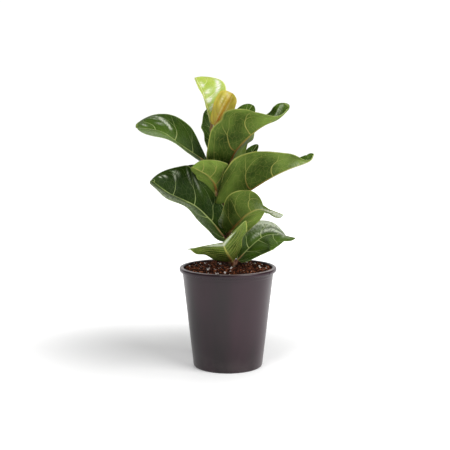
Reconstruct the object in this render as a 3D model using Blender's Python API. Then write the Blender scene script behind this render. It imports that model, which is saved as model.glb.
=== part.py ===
"""Potted bambino fiddle leaf fig: a dark tapered pot, its soil, the stem and fourteen leaves.

Lengths in the tables below are millimetres and angles are degrees. The origin is the centre of
the pot's foot, +Z is up and the plant's front looks along -Y.
"""
import math
from dataclasses import dataclass

import bpy
import numpy as np

MM = 0.001

# Pot
POT_HEIGHT = 135.0
RIM_DIAMETER = 130.0
RIM_LIP = 6.0
FOOT_DIAMETER = 93.0
WALL = 2.0
FLOOR = 3.0
FOOT_RECESS = 1.2
FOOT_RING_WIDTH = 6.0
FOOT_PAD_RADIUS = 18.0
FOOT_ROUNDING = 2.6
RIM_OVERHANG = 3.2
RIM_ROUNDING = 2.5
FLOOR_ROUNDING = 2.0
POT_SIDES = 48
DRAIN_SIDES = 12
DRAIN_HOLES = 6
DRAIN_DIAMETER = 9.0
DRAIN_CIRCLE_RADIUS = 28.0
DRAIN_TURN = 3.0

# Soil
SEAT_GAP = 0.3
SOIL_DROP = 2.6
SOIL_CROWN = 2.0
SOIL_LUMP = 1.3
SOIL_SEED = 7
SOIL_RINGS = 8
SOIL_EDGE = 2.0

# Stem, as points up its axis
STEM_AXIS = [
    (6.5, -1.5, 95.0),
    (5.5, -1.0, 135.0),
    (0.5, 0.0, 172.0),
    (-6.0, 1.0, 216.0),
    (-13.0, 2.0, 262.0),
    (-20.0, 3.0, 316.0),
]
STEM_RADIUS_FOOT = 4.6
STEM_RADIUS_TOP = 2.6
STEM_SIDES = 12
STEM_RINGS = 46
NODE_SWELL = 0.5
NODE_PITCH = 0.9
BUD_LENGTH = 16.0

# Leaf stalks, their path in shares of the gap from stem to blade
STALK_RADIUS = 1.9
STALK_SINK = 0.14
STALK_SIDES = 8
STALK_RINGS = 9
STALK_LEVEL = 0.3
STALK_RISE = 0.1
STALK_APPROACH = 0.25
STALK_UNDER = (0.75, 0.6, 0.375)
STALK_TAPER_AT = (0.0, 0.15, 0.7, 1.0)
STALK_TAPER = (1.15, 1.0, 0.9, 0.35)

# Leaf blades
BLADE_THICKNESS = 0.8
RIB_HEIGHT = 1.0
RIB_HALF_WIDTH = 0.07
RIB_FADE = 0.75
CORNER_CUT = 0.42
CORNER_LENGTH = 0.13
TAIL_FROM, TAIL_TO = 0.4, 0.8
TAIL_BLUNT = 8
LOBE_LENGTH = 0.35
LOBE_SPAN = 0.9
LOBE_ROUNDING = 0.65
CREST_FROM = 0.62
WAVE_LAG = 0.4
LEAF_ROWS = 13
ROW_CROWDING = 1.15
LEAF_COLUMNS = (-1.0, -0.8, -0.55, -0.3, -0.1, 0.0, 0.1, 0.3, 0.55, 0.8, 1.0)

# Curves
MIDRIB_STATIONS = 241
CURVE_STEPS = 40
LONG_RUN = 5

# Colours
POT_COLOUR = (0.048, 0.040, 0.044)
SOIL_COLOUR = (0.060, 0.028, 0.018)
BARK_COLOUR = (0.170, 0.095, 0.050)
GREEN = (0.055, 0.125, 0.030)
LIME = (0.480, 0.560, 0.090)
AMBER = (0.520, 0.330, 0.040)


@dataclass(frozen=True)
class Leaf:
    """One leaf: its midrib in millimetres, its outline, and how its two halves fold."""

    name: str
    midrib: tuple
    half_width: float
    facing: tuple
    left: tuple
    right: tuple
    base: float = 0.5
    widest: float = 0.66
    lobe: tuple = (0.0, 0.0)
    crest: tuple = (0.0, 0.0)
    blunt: float = 5.0
    tail: float = 0.0
    tail_width: float = 0.16
    wave: float = 2.0
    waves: float = 2.5
    left_share: tuple = (1.0,)
    right_share: tuple = (1.0,)
    foot_drop: float = 8.0
    colour: tuple = GREEN


LEAVES = (
    Leaf(
        name="leaf_low_front",
        midrib=((5, -10, 144), (1, -34, 155), (-4, -60, 168), (-7, -84, 180)),
        half_width=42, facing=(-0.4, 0.1, 0.9), left=(17, 17, 22), right=(23, 23, 17), base=0.38,
        widest=0.9, blunt=30, left_share=(0.9, 0.85, 1.1), right_share=(1.17, 1.17, 1.05),
        foot_drop=6,
    ),
    Leaf(
        name="leaf_low_right",
        midrib=((13, 0, 144), (30, 5, 161), (48, 8, 175), (66, 6, 178), (90, 0, 174)),
        half_width=38, facing=(0.0, -0.35, 0.93), left=(8, 18, -8, -60), right=(6, -2, -10),
        base=0.4, widest=0.75, blunt=7, tail=0.13, tail_width=0.38, wave=1.2, waves=2.0,
        left_share=(1.0, 1.0, 1.05, 1.0), right_share=(1.1,), foot_drop=6,
    ),
    Leaf(
        name="leaf_middle_left",
        midrib=((-8, -5, 180), (-24, -9, 200), (-45, -9, 219), (-77, -5, 234), (-102, 0, 251)),
        half_width=46, facing=(0.6, 0.0, 0.78), left=(-26, -17, -5, -14), right=(97, 72, 60),
        base=0.32, widest=0.8, lobe=(0.07, 0.05), blunt=5.5, left_share=(1.8, 1.02, 0.9, 0.8),
        right_share=(1.8, 1.0, 1.1, 1.05),
    ),
    Leaf(
        name="leaf_middle_front",
        midrib=(
            (1, -10, 183), (12, -26, 197), (24, -42, 211), (38, -54, 219), (53, -60, 217),
            (70, -60, 212),
        ),
        half_width=42, facing=(-0.2, 0.6, 0.75), left=(-8, 12, 12, -30), right=(30, 35, 20),
        base=0.4, widest=0.85, blunt=6, tail=0.26, tail_width=0.2,
        left_share=(1.5, 1.25, 1.0, 1.0, 1.0, 1.7),
        right_share=(1.45, 1.12, 0.98, 0.92, 0.9, 0.93, 0.97, 0.97, 0.35, 0.2, 0.2),
    ),
    Leaf(
        name="leaf_middle_right",
        midrib=(
            (9, -9, 228), (29, -14, 240), (57, -22, 258), (80, -24, 269), (99, -22, 275.5),
            (107.5, -20, 279.5), (111.5, -17, 287),
        ),
        half_width=48, facing=(-0.3, 0.75, 0.6), left=(50, 60, 70, 85, 130), right=(14, 12, -20),
        base=0.75, widest=0.3, lobe=(0.0, 0.2), blunt=6,
        left_share=(1.0, 0.99, 0.97, 0.93, 0.86, 0.65, 0.34, 0.27, 0.4),
        right_share=(1.0, 1.04, 1.06, 1.04, 0.963, 0.71, 0.44, 0.14, 0.15),
    ),
    Leaf(
        name="leaf_small_front",
        midrib=(
            (-15.5, -11, 235.5), (-18, -21, 249), (-27, -31, 261), (-38, -38, 268), (-46, -42, 272),
        ),
        half_width=32, facing=(0.2, 0.7, 0.7), left=(60, 24, 12), right=(12, 5, 20), base=0.2,
        widest=0.6, wave=0.8, left_share=(1.5, 0.98, 0.82), right_share=(1.0, 0.62, 0.6),
        foot_drop=4,
    ),
    Leaf(
        name="leaf_back_left",
        midrib=((-16, 12, 226), (-28, 30, 242), (-41, 44, 252), (-59, 54, 265)),
        half_width=28, facing=(0.3, -0.6, 0.7), left=(15, 15, 15), right=(15, 15, 15), blunt=2.5,
    ),
    Leaf(
        name="leaf_back_right",
        midrib=((3, 12, 229), (14, 30, 257), (26, 44, 276), (41, 54, 296)),
        half_width=18, facing=(-0.3, -0.6, 0.7), left=(15, 15, 15), right=(15, 15, 15), blunt=1.6,
    ),
    Leaf(
        name="leaf_upper_right",
        midrib=(
            (2, -14, 274), (9, -24, 291), (29, -36, 313), (46, -40, 325.5), (63, -42, 333),
            (77, -39, 345),
        ),
        half_width=44, facing=(-0.3, 0.8, 0.5), left=(22, 44, 54, 100, 140),
        right=(0, 20, 10, -30, -10), base=0.88, widest=0.35, lobe=(0.02, 0.2), crest=(0.15, 0.0),
        blunt=8, left_share=(0.9, 1.06, 0.95, 0.745, 0.61, 0.56, 0.41, 0.43, 0.6),
        right_share=(1.0, 0.86, 0.98, 0.92, 1.1, 0.93, 0.52, 0.25, 0.2),
    ),
    Leaf(
        name="leaf_upper_left",
        midrib=(
            (-29, 8, 275), (-50, 10, 289), (-64, 10, 298.5), (-82, 9, 312), (-98, 8, 318),
            (-120, 6, 320),
        ),
        half_width=42, facing=(0.41, 0.0, 0.91), left=(-10, -2, -3, -12, -9),
        right=(50, 56, 52, 34, 22), widest=0.42, crest=(0.0, 0.14), blunt=6, wave=0.5,
        left_share=(0.9, 0.9, 0.85, 0.9), right_share=(0.3, 0.82, 1.02),
    ),
    Leaf(
        name="leaf_back_upper",
        midrib=((-16, 12, 270), (-12, 26, 296), (-14, 34, 323), (-25, 38, 346)),
        half_width=31, facing=(0.5, -0.8, 0.2), left=(10, 10, 10), right=(10, 10, 10),
    ),
    Leaf(
        name="leaf_back_top",
        midrib=((-7, 9, 296), (9, 17, 320), (24, 24, 338), (33, 28, 350)),
        half_width=18, facing=(0.0, -0.6, 0.8), left=(15, 15, 15), right=(15, 15, 15), blunt=4,
    ),
    Leaf(
        name="leaf_new_lime",
        midrib=((-22, -1, 327.5), (-26.5, 1, 345), (-33, 5, 367), (-43, 12, 386)),
        half_width=28, facing=(0.2, -0.9, 0.3), left=(65, 65, 50), right=(0, 0, -10), base=0.26,
        widest=0.75, blunt=4, wave=1.0, left_share=(0.5,), right_share=(1.0, 1.1, 1.3, 1.3, 1.15),
        foot_drop=12, colour=LIME,
    ),
    Leaf(
        name="leaf_new_amber",
        midrib=((-17, -8, 323), (-9, -13, 338), (-1, -15, 353), (6, -14, 365)),
        half_width=16, facing=(-0.3, -0.9, 0.3), left=(20, 20, 20), right=(20, 20, 20), base=0.6,
        widest=0.7, blunt=16, wave=1.0, right_share=(1.0, 1.0, 1.1, 0.4), foot_drop=16,
        colour=AMBER,
    ),
)


def smooth(value, low, high):
    """Ease from 0 at low to 1 at high."""
    share = np.clip((value - low) / (high - low), 0.0, 1.0)
    return share * share * (3.0 - 2.0 * share)


def cubic(a, b, c, d, t):
    """Go from b at t = 0 to c at t = 1 along a smooth curve that a and d bend."""
    bend = a - 2.5 * b + 2.0 * c - 0.5 * d
    twist = 0.5 * (d - a) + 1.5 * (b - c)
    return b + 0.5 * (c - a) * t + bend * t**2 + twist * t**3


def through(values, station):
    """Read a smooth run of values, given evenly spaced from the base to the tip, at stations.

    A short run is one polynomial. A long one is a chain of cubic pieces.
    """
    places = np.linspace(0.0, 1.0, len(values))
    if len(values) > LONG_RUN:
        run = np.array([2 * values[0] - values[1], *values, 2 * values[-1] - values[-2]])
        first = np.searchsorted(places, station, side="right") - 1
        first = np.clip(first, 0, len(values) - 2)
        t = station * (len(values) - 1) - first
        return cubic(*(run[first + k] for k in range(4)), t)
    total = np.zeros(len(station))
    for value, place in zip(values, places):
        others = places[places != place]
        total += value * np.prod((station[:, None] - others) / (place - others), axis=-1)
    return total


def spline(points, count):
    """Pass a smooth curve through the points and return it evenly spaced, with its length."""
    knots = np.asarray(points, float)
    knots = np.vstack([2 * knots[0] - knots[1], knots, 2 * knots[-1] - knots[-2]])
    t = np.linspace(0.0, 1.0, CURVE_STEPS, endpoint=False)[:, None]
    runs = []
    for a, b, c, d in zip(knots[:-3], knots[1:-2], knots[2:-1], knots[3:]):
        runs.append(cubic(a, b, c, d, t))
    curve = np.vstack(runs + [knots[-2:-1]])
    travelled = np.concatenate([[0.0], np.cumsum(np.linalg.norm(np.diff(curve, axis=0), axis=1))])
    wanted = np.linspace(0.0, travelled[-1], count)
    even = np.stack([np.interp(wanted, travelled, curve[:, k]) for k in range(3)], axis=-1)
    return even, travelled[-1]


def stem_centre(height):
    """Give the stem's centre at a height."""
    curve, _ = spline(STEM_AXIS, MIDRIB_STATIONS)
    return np.array([np.interp(height, curve[:, 2], curve[:, k]) for k in range(3)])


def stem_radius(height):
    """Give the stem's radius at a height, without its nodes."""
    low, high = STEM_AXIS[0][2], STEM_AXIS[-1][2]
    return np.interp(height, (low, high), (STEM_RADIUS_FOOT, STEM_RADIUS_TOP))


def leaf_frames(leaf):
    """Give the midrib's stations with their directions along, across and up through the blade."""
    centres, length = spline(leaf.midrib, MIDRIB_STATIONS)
    station = np.linspace(0.0, 1.0, MIDRIB_STATIONS)
    along = np.gradient(centres, axis=0)
    along /= np.linalg.norm(along, axis=1)[:, None]
    facing = np.asarray(leaf.facing, float)
    facing /= np.linalg.norm(facing)
    up = facing - (along @ facing)[:, None] * along
    up /= np.linalg.norm(up, axis=1)[:, None]
    across = np.cross(along, up)
    return station, centres, along, across, up, length


def leaf_outline(leaf, station):
    """Give the half width at each station as a share of the widest, broad towards the tip."""
    body = np.clip(station / (1.0 - leaf.tail), 0.0, 1.0)
    grown = leaf.base + (1.0 - leaf.base) * smooth(body, -0.05, leaf.widest)
    corner = 1.0 - CORNER_CUT * np.clip(1.0 - body / CORNER_LENGTH, 0.0, 1.0) ** 2
    blade = grown * corner * np.sqrt(np.clip(1.0 - body**leaf.blunt, 0.0, 1.0))
    if leaf.tail == 0.0:
        return blade
    drip = leaf.tail_width * np.sqrt(np.clip(1.0 - station**TAIL_BLUNT, 0.0, 1.0))
    drip = drip * smooth(station, TAIL_FROM, TAIL_TO)
    return (blade**4 + drip**4) ** 0.25


def leaf_surface(leaf, rows, columns):
    """Give the blade's upper face as a grid of points, rows along the midrib and columns across.

    Columns run from -1 at the left margin to 1 at the right one. Each half leaves the midrib at its
    fold angle, rises and falls in waves towards its margin, reaches back in a lobe at the base and
    ahead in a crest at the tip.
    """
    station, centres, along, across, up, length = leaf_frames(leaf)

    def at_rows(field):
        read = [np.interp(rows, station, field[:, k]) for k in range(3)]
        return np.stack(read, axis=-1)[:, None, :]

    centre, ahead, side, rise = (at_rows(field) for field in (centres, along, across, up))
    shape = leaf_outline(leaf, rows)
    reach = np.abs(columns)
    sign = np.where(columns < 0.0, -1.0, 1.0)
    right = sign > 0.0
    rows_left, rows_right = through(leaf.left, rows), through(leaf.right, rows)
    fold = np.radians(np.where(right, rows_right[:, None], rows_left[:, None]))[..., None]
    rows_left, rows_right = through(leaf.left_share, rows), through(leaf.right_share, rows)
    share = np.where(right, rows_right[:, None], rows_left[:, None])
    spread = (leaf.half_width * shape[:, None] * share * reach)[..., None]
    phase = np.where(right, WAVE_LAG, 0.0)
    swing = np.sin(2.0 * np.pi * (leaf.waves * rows[:, None] + phase))
    wave = (leaf.wave * reach**2 * swing * shape[:, None])[..., None]
    back = np.clip(1.0 - rows / LOBE_LENGTH, 0.0, 1.0)[:, None] ** 2
    fore = np.clip((rows - CREST_FROM) / (1.0 - CREST_FROM), 0.0, 1.0)[:, None] ** 2
    fore = fore * shape[:, None]
    arch = np.sin(LOBE_SPAN * np.pi * reach**LOBE_ROUNDING)
    back = np.where(right, leaf.lobe[1], leaf.lobe[0]) * back
    fore = np.where(right, leaf.crest[1], leaf.crest[0]) * fore
    reached = (length * arch * (fore - back))[..., None]
    outward = sign[None, :, None] * side
    blade_out = outward * np.cos(fold) + rise * np.sin(fold)
    blade_up = rise * np.cos(fold) - outward * np.sin(fold)
    return centre + blade_out * spread + blade_up * wave + ahead * reached


def grid_normals(grid):
    """Give unit normals of a grid of points, on the side that the upper face shows."""
    down = np.gradient(grid, axis=0)
    over = np.gradient(grid, axis=1)
    normals = np.cross(over, down)
    size = np.linalg.norm(normals, axis=-1, keepdims=True)
    return normals / np.maximum(size, 1e-9)


def mesh_object(name, points, faces, material):
    """Make an object from points in millimetres and faces."""
    mesh = bpy.data.meshes.new(name)
    mesh.from_pydata([tuple(point * MM) for point in points], [], faces)
    mesh.update()
    part = bpy.data.objects.new(name, mesh)
    bpy.context.collection.objects.link(part)
    mesh.materials.append(material)
    shade(part)
    return part


def shade(part, angle=40.0):
    """Shade a part smooth and keep edges sharper than the angle."""
    part.data.shade_smooth()
    part.data.set_sharp_from_angle(angle=math.radians(angle))


def make_material(name, colour, roughness):
    """Make a material of one colour and gloss."""
    material = bpy.data.materials.new(name)
    material.use_nodes = True
    shader = material.node_tree.nodes["Principled BSDF"]
    shader.inputs["Base Color"].default_value = (*colour, 1.0)
    shader.inputs["Roughness"].default_value = roughness
    return material


def combine(body, tool, operation):
    """Join a tool to a body, or cut it away, and drop the tool."""
    modifier = body.modifiers.new(operation.title(), "BOOLEAN")
    modifier.operation = operation
    modifier.solver = "EXACT"
    modifier.object = tool
    graph = bpy.context.evaluated_depsgraph_get()
    result = bpy.data.meshes.new_from_object(body.evaluated_get(graph))
    body.modifiers.clear()
    plain = body.data
    name = plain.name
    body.data = result
    bpy.data.meshes.remove(plain)
    result.name = name
    bpy.data.objects.remove(tool)


def turned(name, profile, sides, material, lift=None):
    """Turn a closed profile of (radius, height) points round Z. Both its ends lie on the axis.

    lift, if given, adds a height to each point from its ring number and its angle.
    """
    angles = np.arange(sides) * 2.0 * np.pi / sides
    points = [np.array([0.0, 0.0, profile[0][1]])]
    for ring, (radius, height) in enumerate(profile[1:-1], start=1):
        heights = np.full(sides, height)
        if lift is not None:
            heights = heights + lift(ring, angles)
        circle = [radius * np.cos(angles), radius * np.sin(angles), heights]
        points.extend(np.stack(circle, axis=-1))
    points.append(np.array([0.0, 0.0, profile[-1][1]]))
    last = len(points) - 1
    rings = len(profile) - 2
    faces = []
    for side in range(sides):
        after = (side + 1) % sides
        faces.append((0, 1 + after, 1 + side))
        top = 1 + (rings - 1) * sides
        faces.append((last, top + side, top + after))
        for ring in range(rings - 1):
            low, high = 1 + ring * sides, 1 + (ring + 1) * sides
            faces.append((low + side, low + after, high + after, high + side))
    return mesh_object(name, points, faces, material)


def wall_radius(height):
    """Give the pot's outer radius under the rim at a height."""
    top = RIM_DIAMETER / 2.0 - RIM_OVERHANG
    return np.interp(height, (0.0, POT_HEIGHT), (FOOT_DIAMETER / 2.0, top))


def rounded(corners):
    """Give a section's points from its corners, each corner eased by its own rounding."""
    places = [np.array(place, float) for place, _ in corners]
    points = []
    for index, (place, (_, rounding)) in enumerate(zip(places, corners)):
        if rounding == 0.0:
            points.append(place)
            continue
        before, after = places[index - 1] - place, places[index + 1] - place
        start = place + before * rounding / np.linalg.norm(before)
        end = place + after * rounding / np.linalg.norm(after)
        points.extend((start, (start + 2.0 * place + end) / 4.0, end))
    return [tuple(point) for point in points]


def pot_profile():
    """Give the pot's section: foot, tapered wall, rolled rim, inner wall and floor."""
    rim = RIM_DIAMETER / 2.0
    lip_low = POT_HEIGHT - RIM_LIP
    foot = FOOT_DIAMETER / 2.0
    ring = foot - FOOT_RING_WIDTH
    middle = POT_HEIGHT / 2.0
    return rounded([
        ((0.0, 0.0), 0.0),
        ((FOOT_PAD_RADIUS, 0.0), 0.0),
        ((FOOT_PAD_RADIUS + FOOT_RECESS, FOOT_RECESS), 0.0),
        ((ring - FOOT_RECESS, FOOT_RECESS), 0.0),
        ((ring, 0.0), 0.0),
        ((foot, 0.0), FOOT_ROUNDING),
        ((wall_radius(middle), middle), 0.0),
        ((wall_radius(lip_low), lip_low), 0.0),
        ((rim, lip_low), RIM_ROUNDING),
        ((rim, POT_HEIGHT), RIM_ROUNDING),
        ((wall_radius(POT_HEIGHT) - WALL, POT_HEIGHT), RIM_ROUNDING),
        ((wall_radius(middle) - WALL, middle), 0.0),
        ((wall_radius(FLOOR) - WALL, FLOOR), FLOOR_ROUNDING),
        ((0.0, FLOOR), 0.0),
    ])


def make_pot():
    """Make the pot with its drain holes."""
    plastic = make_material("pot_plastic", POT_COLOUR, 0.36)
    pot = turned("pot", pot_profile(), POT_SIDES, plastic)
    for index in range(DRAIN_HOLES):
        angle = math.radians(DRAIN_TURN) + index * 2.0 * math.pi / DRAIN_HOLES
        place = (
            DRAIN_CIRCLE_RADIUS * MM * math.cos(angle),
            DRAIN_CIRCLE_RADIUS * MM * math.sin(angle),
            FLOOR * MM / 2.0,
        )
        bpy.ops.mesh.primitive_cylinder_add(
            vertices=DRAIN_SIDES,
            radius=DRAIN_DIAMETER * MM / 2.0,
            depth=4.0 * FLOOR * MM,
            location=place,
        )
        combine(pot, bpy.context.object, "DIFFERENCE")
    shade(pot)
    return pot


def soil_profile():
    """Give the soil's section: flat bottom, sides against the wall and a slightly crowned top."""
    bottom = FLOOR + SEAT_GAP
    middle = POT_HEIGHT / 2.0
    surface = POT_HEIGHT - SOIL_DROP
    inset = WALL + SEAT_GAP
    edge = wall_radius(surface) - inset
    hole = stem_radius(STEM_AXIS[1][2]) + NODE_SWELL + SEAT_GAP
    rings = np.linspace(edge - SOIL_EDGE, hole + SOIL_EDGE, SOIL_RINGS)
    crown = [(radius, surface + SOIL_CROWN * (1.0 - radius / edge)) for radius in rings]
    return [
        (0.0, bottom),
        (wall_radius(bottom) - inset - FLOOR_ROUNDING, bottom),
        (wall_radius(bottom) - inset, bottom + FLOOR_ROUNDING),
        (wall_radius(middle) - inset, middle),
        (edge, surface - SOIL_EDGE),
    ] + crown


def make_soil():
    """Make the soil, with a lumpy top and a plain hole that the stem stands in."""
    profile = soil_profile()
    draws = np.random.default_rng(SOIL_SEED)
    first_lumpy = len(profile) - SOIL_RINGS
    lumps = draws.uniform(-SOIL_LUMP, SOIL_LUMP, (SOIL_RINGS, POT_SIDES))

    def lift(ring, angles):
        if ring < first_lumpy:
            return np.zeros(len(angles))
        return lumps[ring - first_lumpy]

    profile.append((0.0, profile[-1][1]))
    mix = make_material("soil_mix", SOIL_COLOUR, 0.95)
    soil = turned("soil", profile, POT_SIDES, mix, lift)
    combine(soil, stem_tube("stem_bore", mix, NODE_SWELL + SEAT_GAP), "DIFFERENCE")
    return soil


def sweep(centres, directions, radii, sides, reach=0.0):
    """Sweep a round section along a path, closed at both ends, the far end drawn out by a reach."""
    least_followed = np.argmin(np.abs(directions).max(axis=0))
    side = np.cross(directions, np.eye(3)[least_followed])
    side /= np.linalg.norm(side, axis=1)[:, None]
    front = np.cross(directions, side)
    angles = np.arange(sides)[None, :, None] * 2.0 * np.pi / sides
    circle = side[:, None, :] * np.cos(angles) + front[:, None, :] * np.sin(angles)
    points = list((centres[:, None, :] + circle * radii[:, None, None]).reshape(-1, 3))
    points.extend((centres[0], centres[-1] + directions[-1] * reach))
    first, last = len(points) - 2, len(points) - 1
    top = (len(centres) - 1) * sides
    faces = []
    for s in range(sides):
        n = (s + 1) % sides
        faces.append((first, n, s))
        faces.append((last, top + s, top + n))
        for ring in range(len(centres) - 1):
            a, b = ring * sides, (ring + 1) * sides
            faces.append((a + s, a + n, b + n, b + s))
    return points, faces


def stem_tube(name, material, margin=0.0):
    """Sweep the stem along its axis. With a margin it is the tool that cuts the stem's hole."""
    axis, _ = spline(STEM_AXIS, STEM_RINGS)
    along = np.gradient(axis, axis=0)
    along /= np.linalg.norm(along, axis=1)[:, None]
    radius = stem_radius(axis[:, 2]) + margin
    if margin:
        axis[0] = axis[0] - along[0] * margin
        return mesh_object(name, *sweep(axis, along, radius, STEM_SIDES), material)
    radius = radius + NODE_SWELL * np.sin(np.arange(STEM_RINGS) * NODE_PITCH) ** 8
    return mesh_object(name, *sweep(axis, along, radius, STEM_SIDES, BUD_LENGTH), material)


def stalk(leaf):
    """Make the leaf stalk, from just clear of the stem to its sunk end under the blade's base."""
    _, centres, along, _, up, _ = leaf_frames(leaf)
    start = centres[0]
    height = start[2] - leaf.foot_drop
    axis = stem_centre(height)
    outward = (start - axis) * (1.0, 1.0, 0.0)
    outward /= np.linalg.norm(outward)
    foot = axis + outward * (stem_radius(height) + NODE_SWELL + SEAT_GAP)
    gap = np.linalg.norm(start - foot)
    end = int(STALK_SINK * MIDRIB_STATIONS)
    middle = end // 2
    under = np.array(STALK_UNDER) * STALK_RADIUS
    path = [
        foot,
        foot + outward * gap * STALK_LEVEL + np.array([0.0, 0.0, gap * STALK_RISE]),
        start - along[0] * gap * STALK_APPROACH - up[0] * under[0],
        start - up[0] * under[0],
        centres[middle] - up[middle] * under[1],
        centres[end] - up[end] * under[2],
    ]
    curve, _ = spline(path, STALK_RINGS)
    direction = np.gradient(curve, axis=0)
    direction[0] = outward
    direction /= np.linalg.norm(direction, axis=1)[:, None]
    share = np.linspace(0.0, 1.0, STALK_RINGS)
    radius = STALK_RADIUS * np.interp(share, STALK_TAPER_AT, STALK_TAPER)
    return sweep(curve, direction, radius, STALK_SIDES)


def blade(leaf):
    """Make the blade as a thin closed sheet, split into triangles alike on both faces."""
    rows = np.sin(np.linspace(0.0, 1.0, LEAF_ROWS) * np.pi / 2.0) ** ROW_CROWDING
    columns = np.array(LEAF_COLUMNS)
    wide = len(columns)
    upper = leaf_surface(leaf, rows, columns)
    normals = grid_normals(upper)
    normals[-1] = normals[-2, wide // 2]
    ridge = RIB_HEIGHT * np.exp(-((columns / RIB_HALF_WIDTH) ** 2))
    rib = ridge[None, :] * (1.0 - RIB_FADE * rows)[:, None]
    lower = upper - normals * (BLADE_THICKNESS + rib)[..., None]
    body_rows = LEAF_ROWS - 1
    size = body_rows * wide
    points = list(upper[:-1].reshape(-1, 3)) + list(lower[:-1].reshape(-1, 3))
    points.extend((upper[-1, wide // 2], lower[-1, wide // 2]))
    tip_up, tip_low = 2 * size, 2 * size + 1
    faces = []
    for row in range(body_rows - 1):
        for column in range(wide - 1):
            a = row * wide + column
            b, c, d = a + wide, a + wide + 1, a + 1
            for one, two, three in ((a, c, b), (a, d, c)):
                faces.append((one, two, three))
                faces.append((size + one, size + three, size + two))
    last = (body_rows - 1) * wide
    for column in range(wide - 1):
        a, d = last + column, last + column + 1
        faces.append((a, d, tip_up))
        faces.append((size + d, size + a, tip_low))
        faces.append((column + 1, column, size + column))
        faces.append((column + 1, size + column, size + column + 1))
    for row in range(body_rows - 1):
        left, right = row * wide, row * wide + wide - 1
        faces.append((left, left + wide, size + left + wide))
        faces.append((left, size + left + wide, size + left))
        faces.append((right + wide, right, size + right))
        faces.append((right + wide, size + right, size + right + wide))
    left, right = last, last + wide - 1
    faces.append((left, tip_up, tip_low))
    faces.append((left, tip_low, size + left))
    faces.append((tip_up, right, size + right))
    faces.append((tip_up, size + right, tip_low))
    return points, faces


def make_leaf(leaf):
    """Make one leaf: blade and stalk in one body."""
    material = make_material(leaf.name, leaf.colour, 0.35)
    body = mesh_object(leaf.name, *blade(leaf), material)
    combine(body, mesh_object(leaf.name + "_stalk", *stalk(leaf), material), "UNION")
    shade(body)
    return body


def main():
    """Clear the scene and build every piece of the plant."""
    for thing in list(bpy.data.objects):
        bpy.data.objects.remove(thing)
    make_pot()
    make_soil()
    stem_tube("stem", make_material("stem_bark", BARK_COLOUR, 0.75))
    for leaf in LEAVES:
        make_leaf(leaf)


if __name__ == "__main__":
    main()
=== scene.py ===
"""Potted bambino fiddle leaf fig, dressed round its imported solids.

Shapes are worked out in millimetres and degrees and become meshes in metres. The origin is the
centre of the pot's foot, +Z is up and the plant's front looks along -Y.
"""
import logging
import math
from collections.abc import Callable, Mapping, Sequence
from dataclasses import dataclass, field
from enum import Enum
from functools import cache, reduce

import bmesh
import bpy
import numpy as np
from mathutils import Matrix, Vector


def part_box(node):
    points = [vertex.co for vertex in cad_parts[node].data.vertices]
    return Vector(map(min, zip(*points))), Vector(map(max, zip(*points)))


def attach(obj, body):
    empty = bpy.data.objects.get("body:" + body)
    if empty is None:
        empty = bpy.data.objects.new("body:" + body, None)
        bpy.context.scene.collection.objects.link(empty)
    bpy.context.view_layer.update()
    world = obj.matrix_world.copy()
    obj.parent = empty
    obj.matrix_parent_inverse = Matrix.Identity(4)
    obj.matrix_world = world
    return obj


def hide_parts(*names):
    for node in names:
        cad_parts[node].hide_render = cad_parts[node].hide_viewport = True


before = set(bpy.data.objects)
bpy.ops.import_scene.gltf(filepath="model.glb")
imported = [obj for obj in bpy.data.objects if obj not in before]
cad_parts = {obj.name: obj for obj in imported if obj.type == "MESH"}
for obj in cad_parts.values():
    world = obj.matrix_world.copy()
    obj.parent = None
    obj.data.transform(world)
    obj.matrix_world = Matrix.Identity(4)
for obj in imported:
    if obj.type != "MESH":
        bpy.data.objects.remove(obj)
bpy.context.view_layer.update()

LOG = logging.getLogger("fiddle_leaf_fig")
MM = 0.001
BODY = "root"
FULL_TURN = 2.0 * math.pi
LONG_RUN = 5
CURVE_STEPS = 40
TINY = 1e-9  # Stands in for a length of nothing, so that none divides by it
MAP_SCALE = 0.1  # Units of a blade's map to a millimetre
MIX_FIRST, MIX_SECOND, MIX_RESULT = 6, 7, 2  # The Mix node's sockets for colours
WHITE = (1.0, 1.0, 1.0)
BLACK = (0.0, 0.0, 0.0)
UPWARDS = np.array([0.0, 0.0, 1.0])

Array = np.ndarray
Pair = tuple[float, float]
Triple = tuple[float, float, float]
Colour = Triple
Socket = bpy.types.NodeSocket
Feed = Socket | float | tuple


# Shape helpers


def smooth(value: Array, low: float, high: float) -> Array:
    """Ease from 0 at low to 1 at high: three times the square less twice the cube."""
    share = np.clip((value - low) / (high - low), 0.0, 1.0)
    return share * share * (3.0 - 2.0 * share)


def unit(vectors: Array) -> Array:
    """Give each vector along the last axis the length 1."""
    return vectors / np.maximum(np.linalg.norm(vectors, axis=-1, keepdims=True), TINY)


def bell(away: Array, width: float) -> Array:
    """Give a bell curve: the exponential of minus the square of distance over width."""
    return np.exp(-((away / width) ** 2))


def read(places: Array | float, marks: Array, points: Array) -> Array:
    """Read points at places, on straight lines between the points' own marks."""
    return np.stack([np.interp(places, marks, points[:, k]) for k in range(3)], axis=-1)


def around(count: int) -> Array:
    """Give evenly spaced angles round a circle, in radians."""
    return np.arange(count) * FULL_TURN / count


def polar(radius: Array | float, angle: Array | float, height: Array | float) -> Array:
    """Give the points at a radius and an angle round Z and at a height."""
    radius, angle, height = np.broadcast_arrays(radius, angle, height)
    return np.stack([radius * np.cos(angle), radius * np.sin(angle), height], axis=-1)


def rotated(first: Array, second: Array, angle: Array) -> tuple[Array, Array]:
    """Turn two coordinates by an angle, from the first one's axis towards the second's."""
    cosine, sine = np.cos(angle), np.sin(angle)
    return first * cosine - second * sine, first * sine + second * cosine


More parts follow.
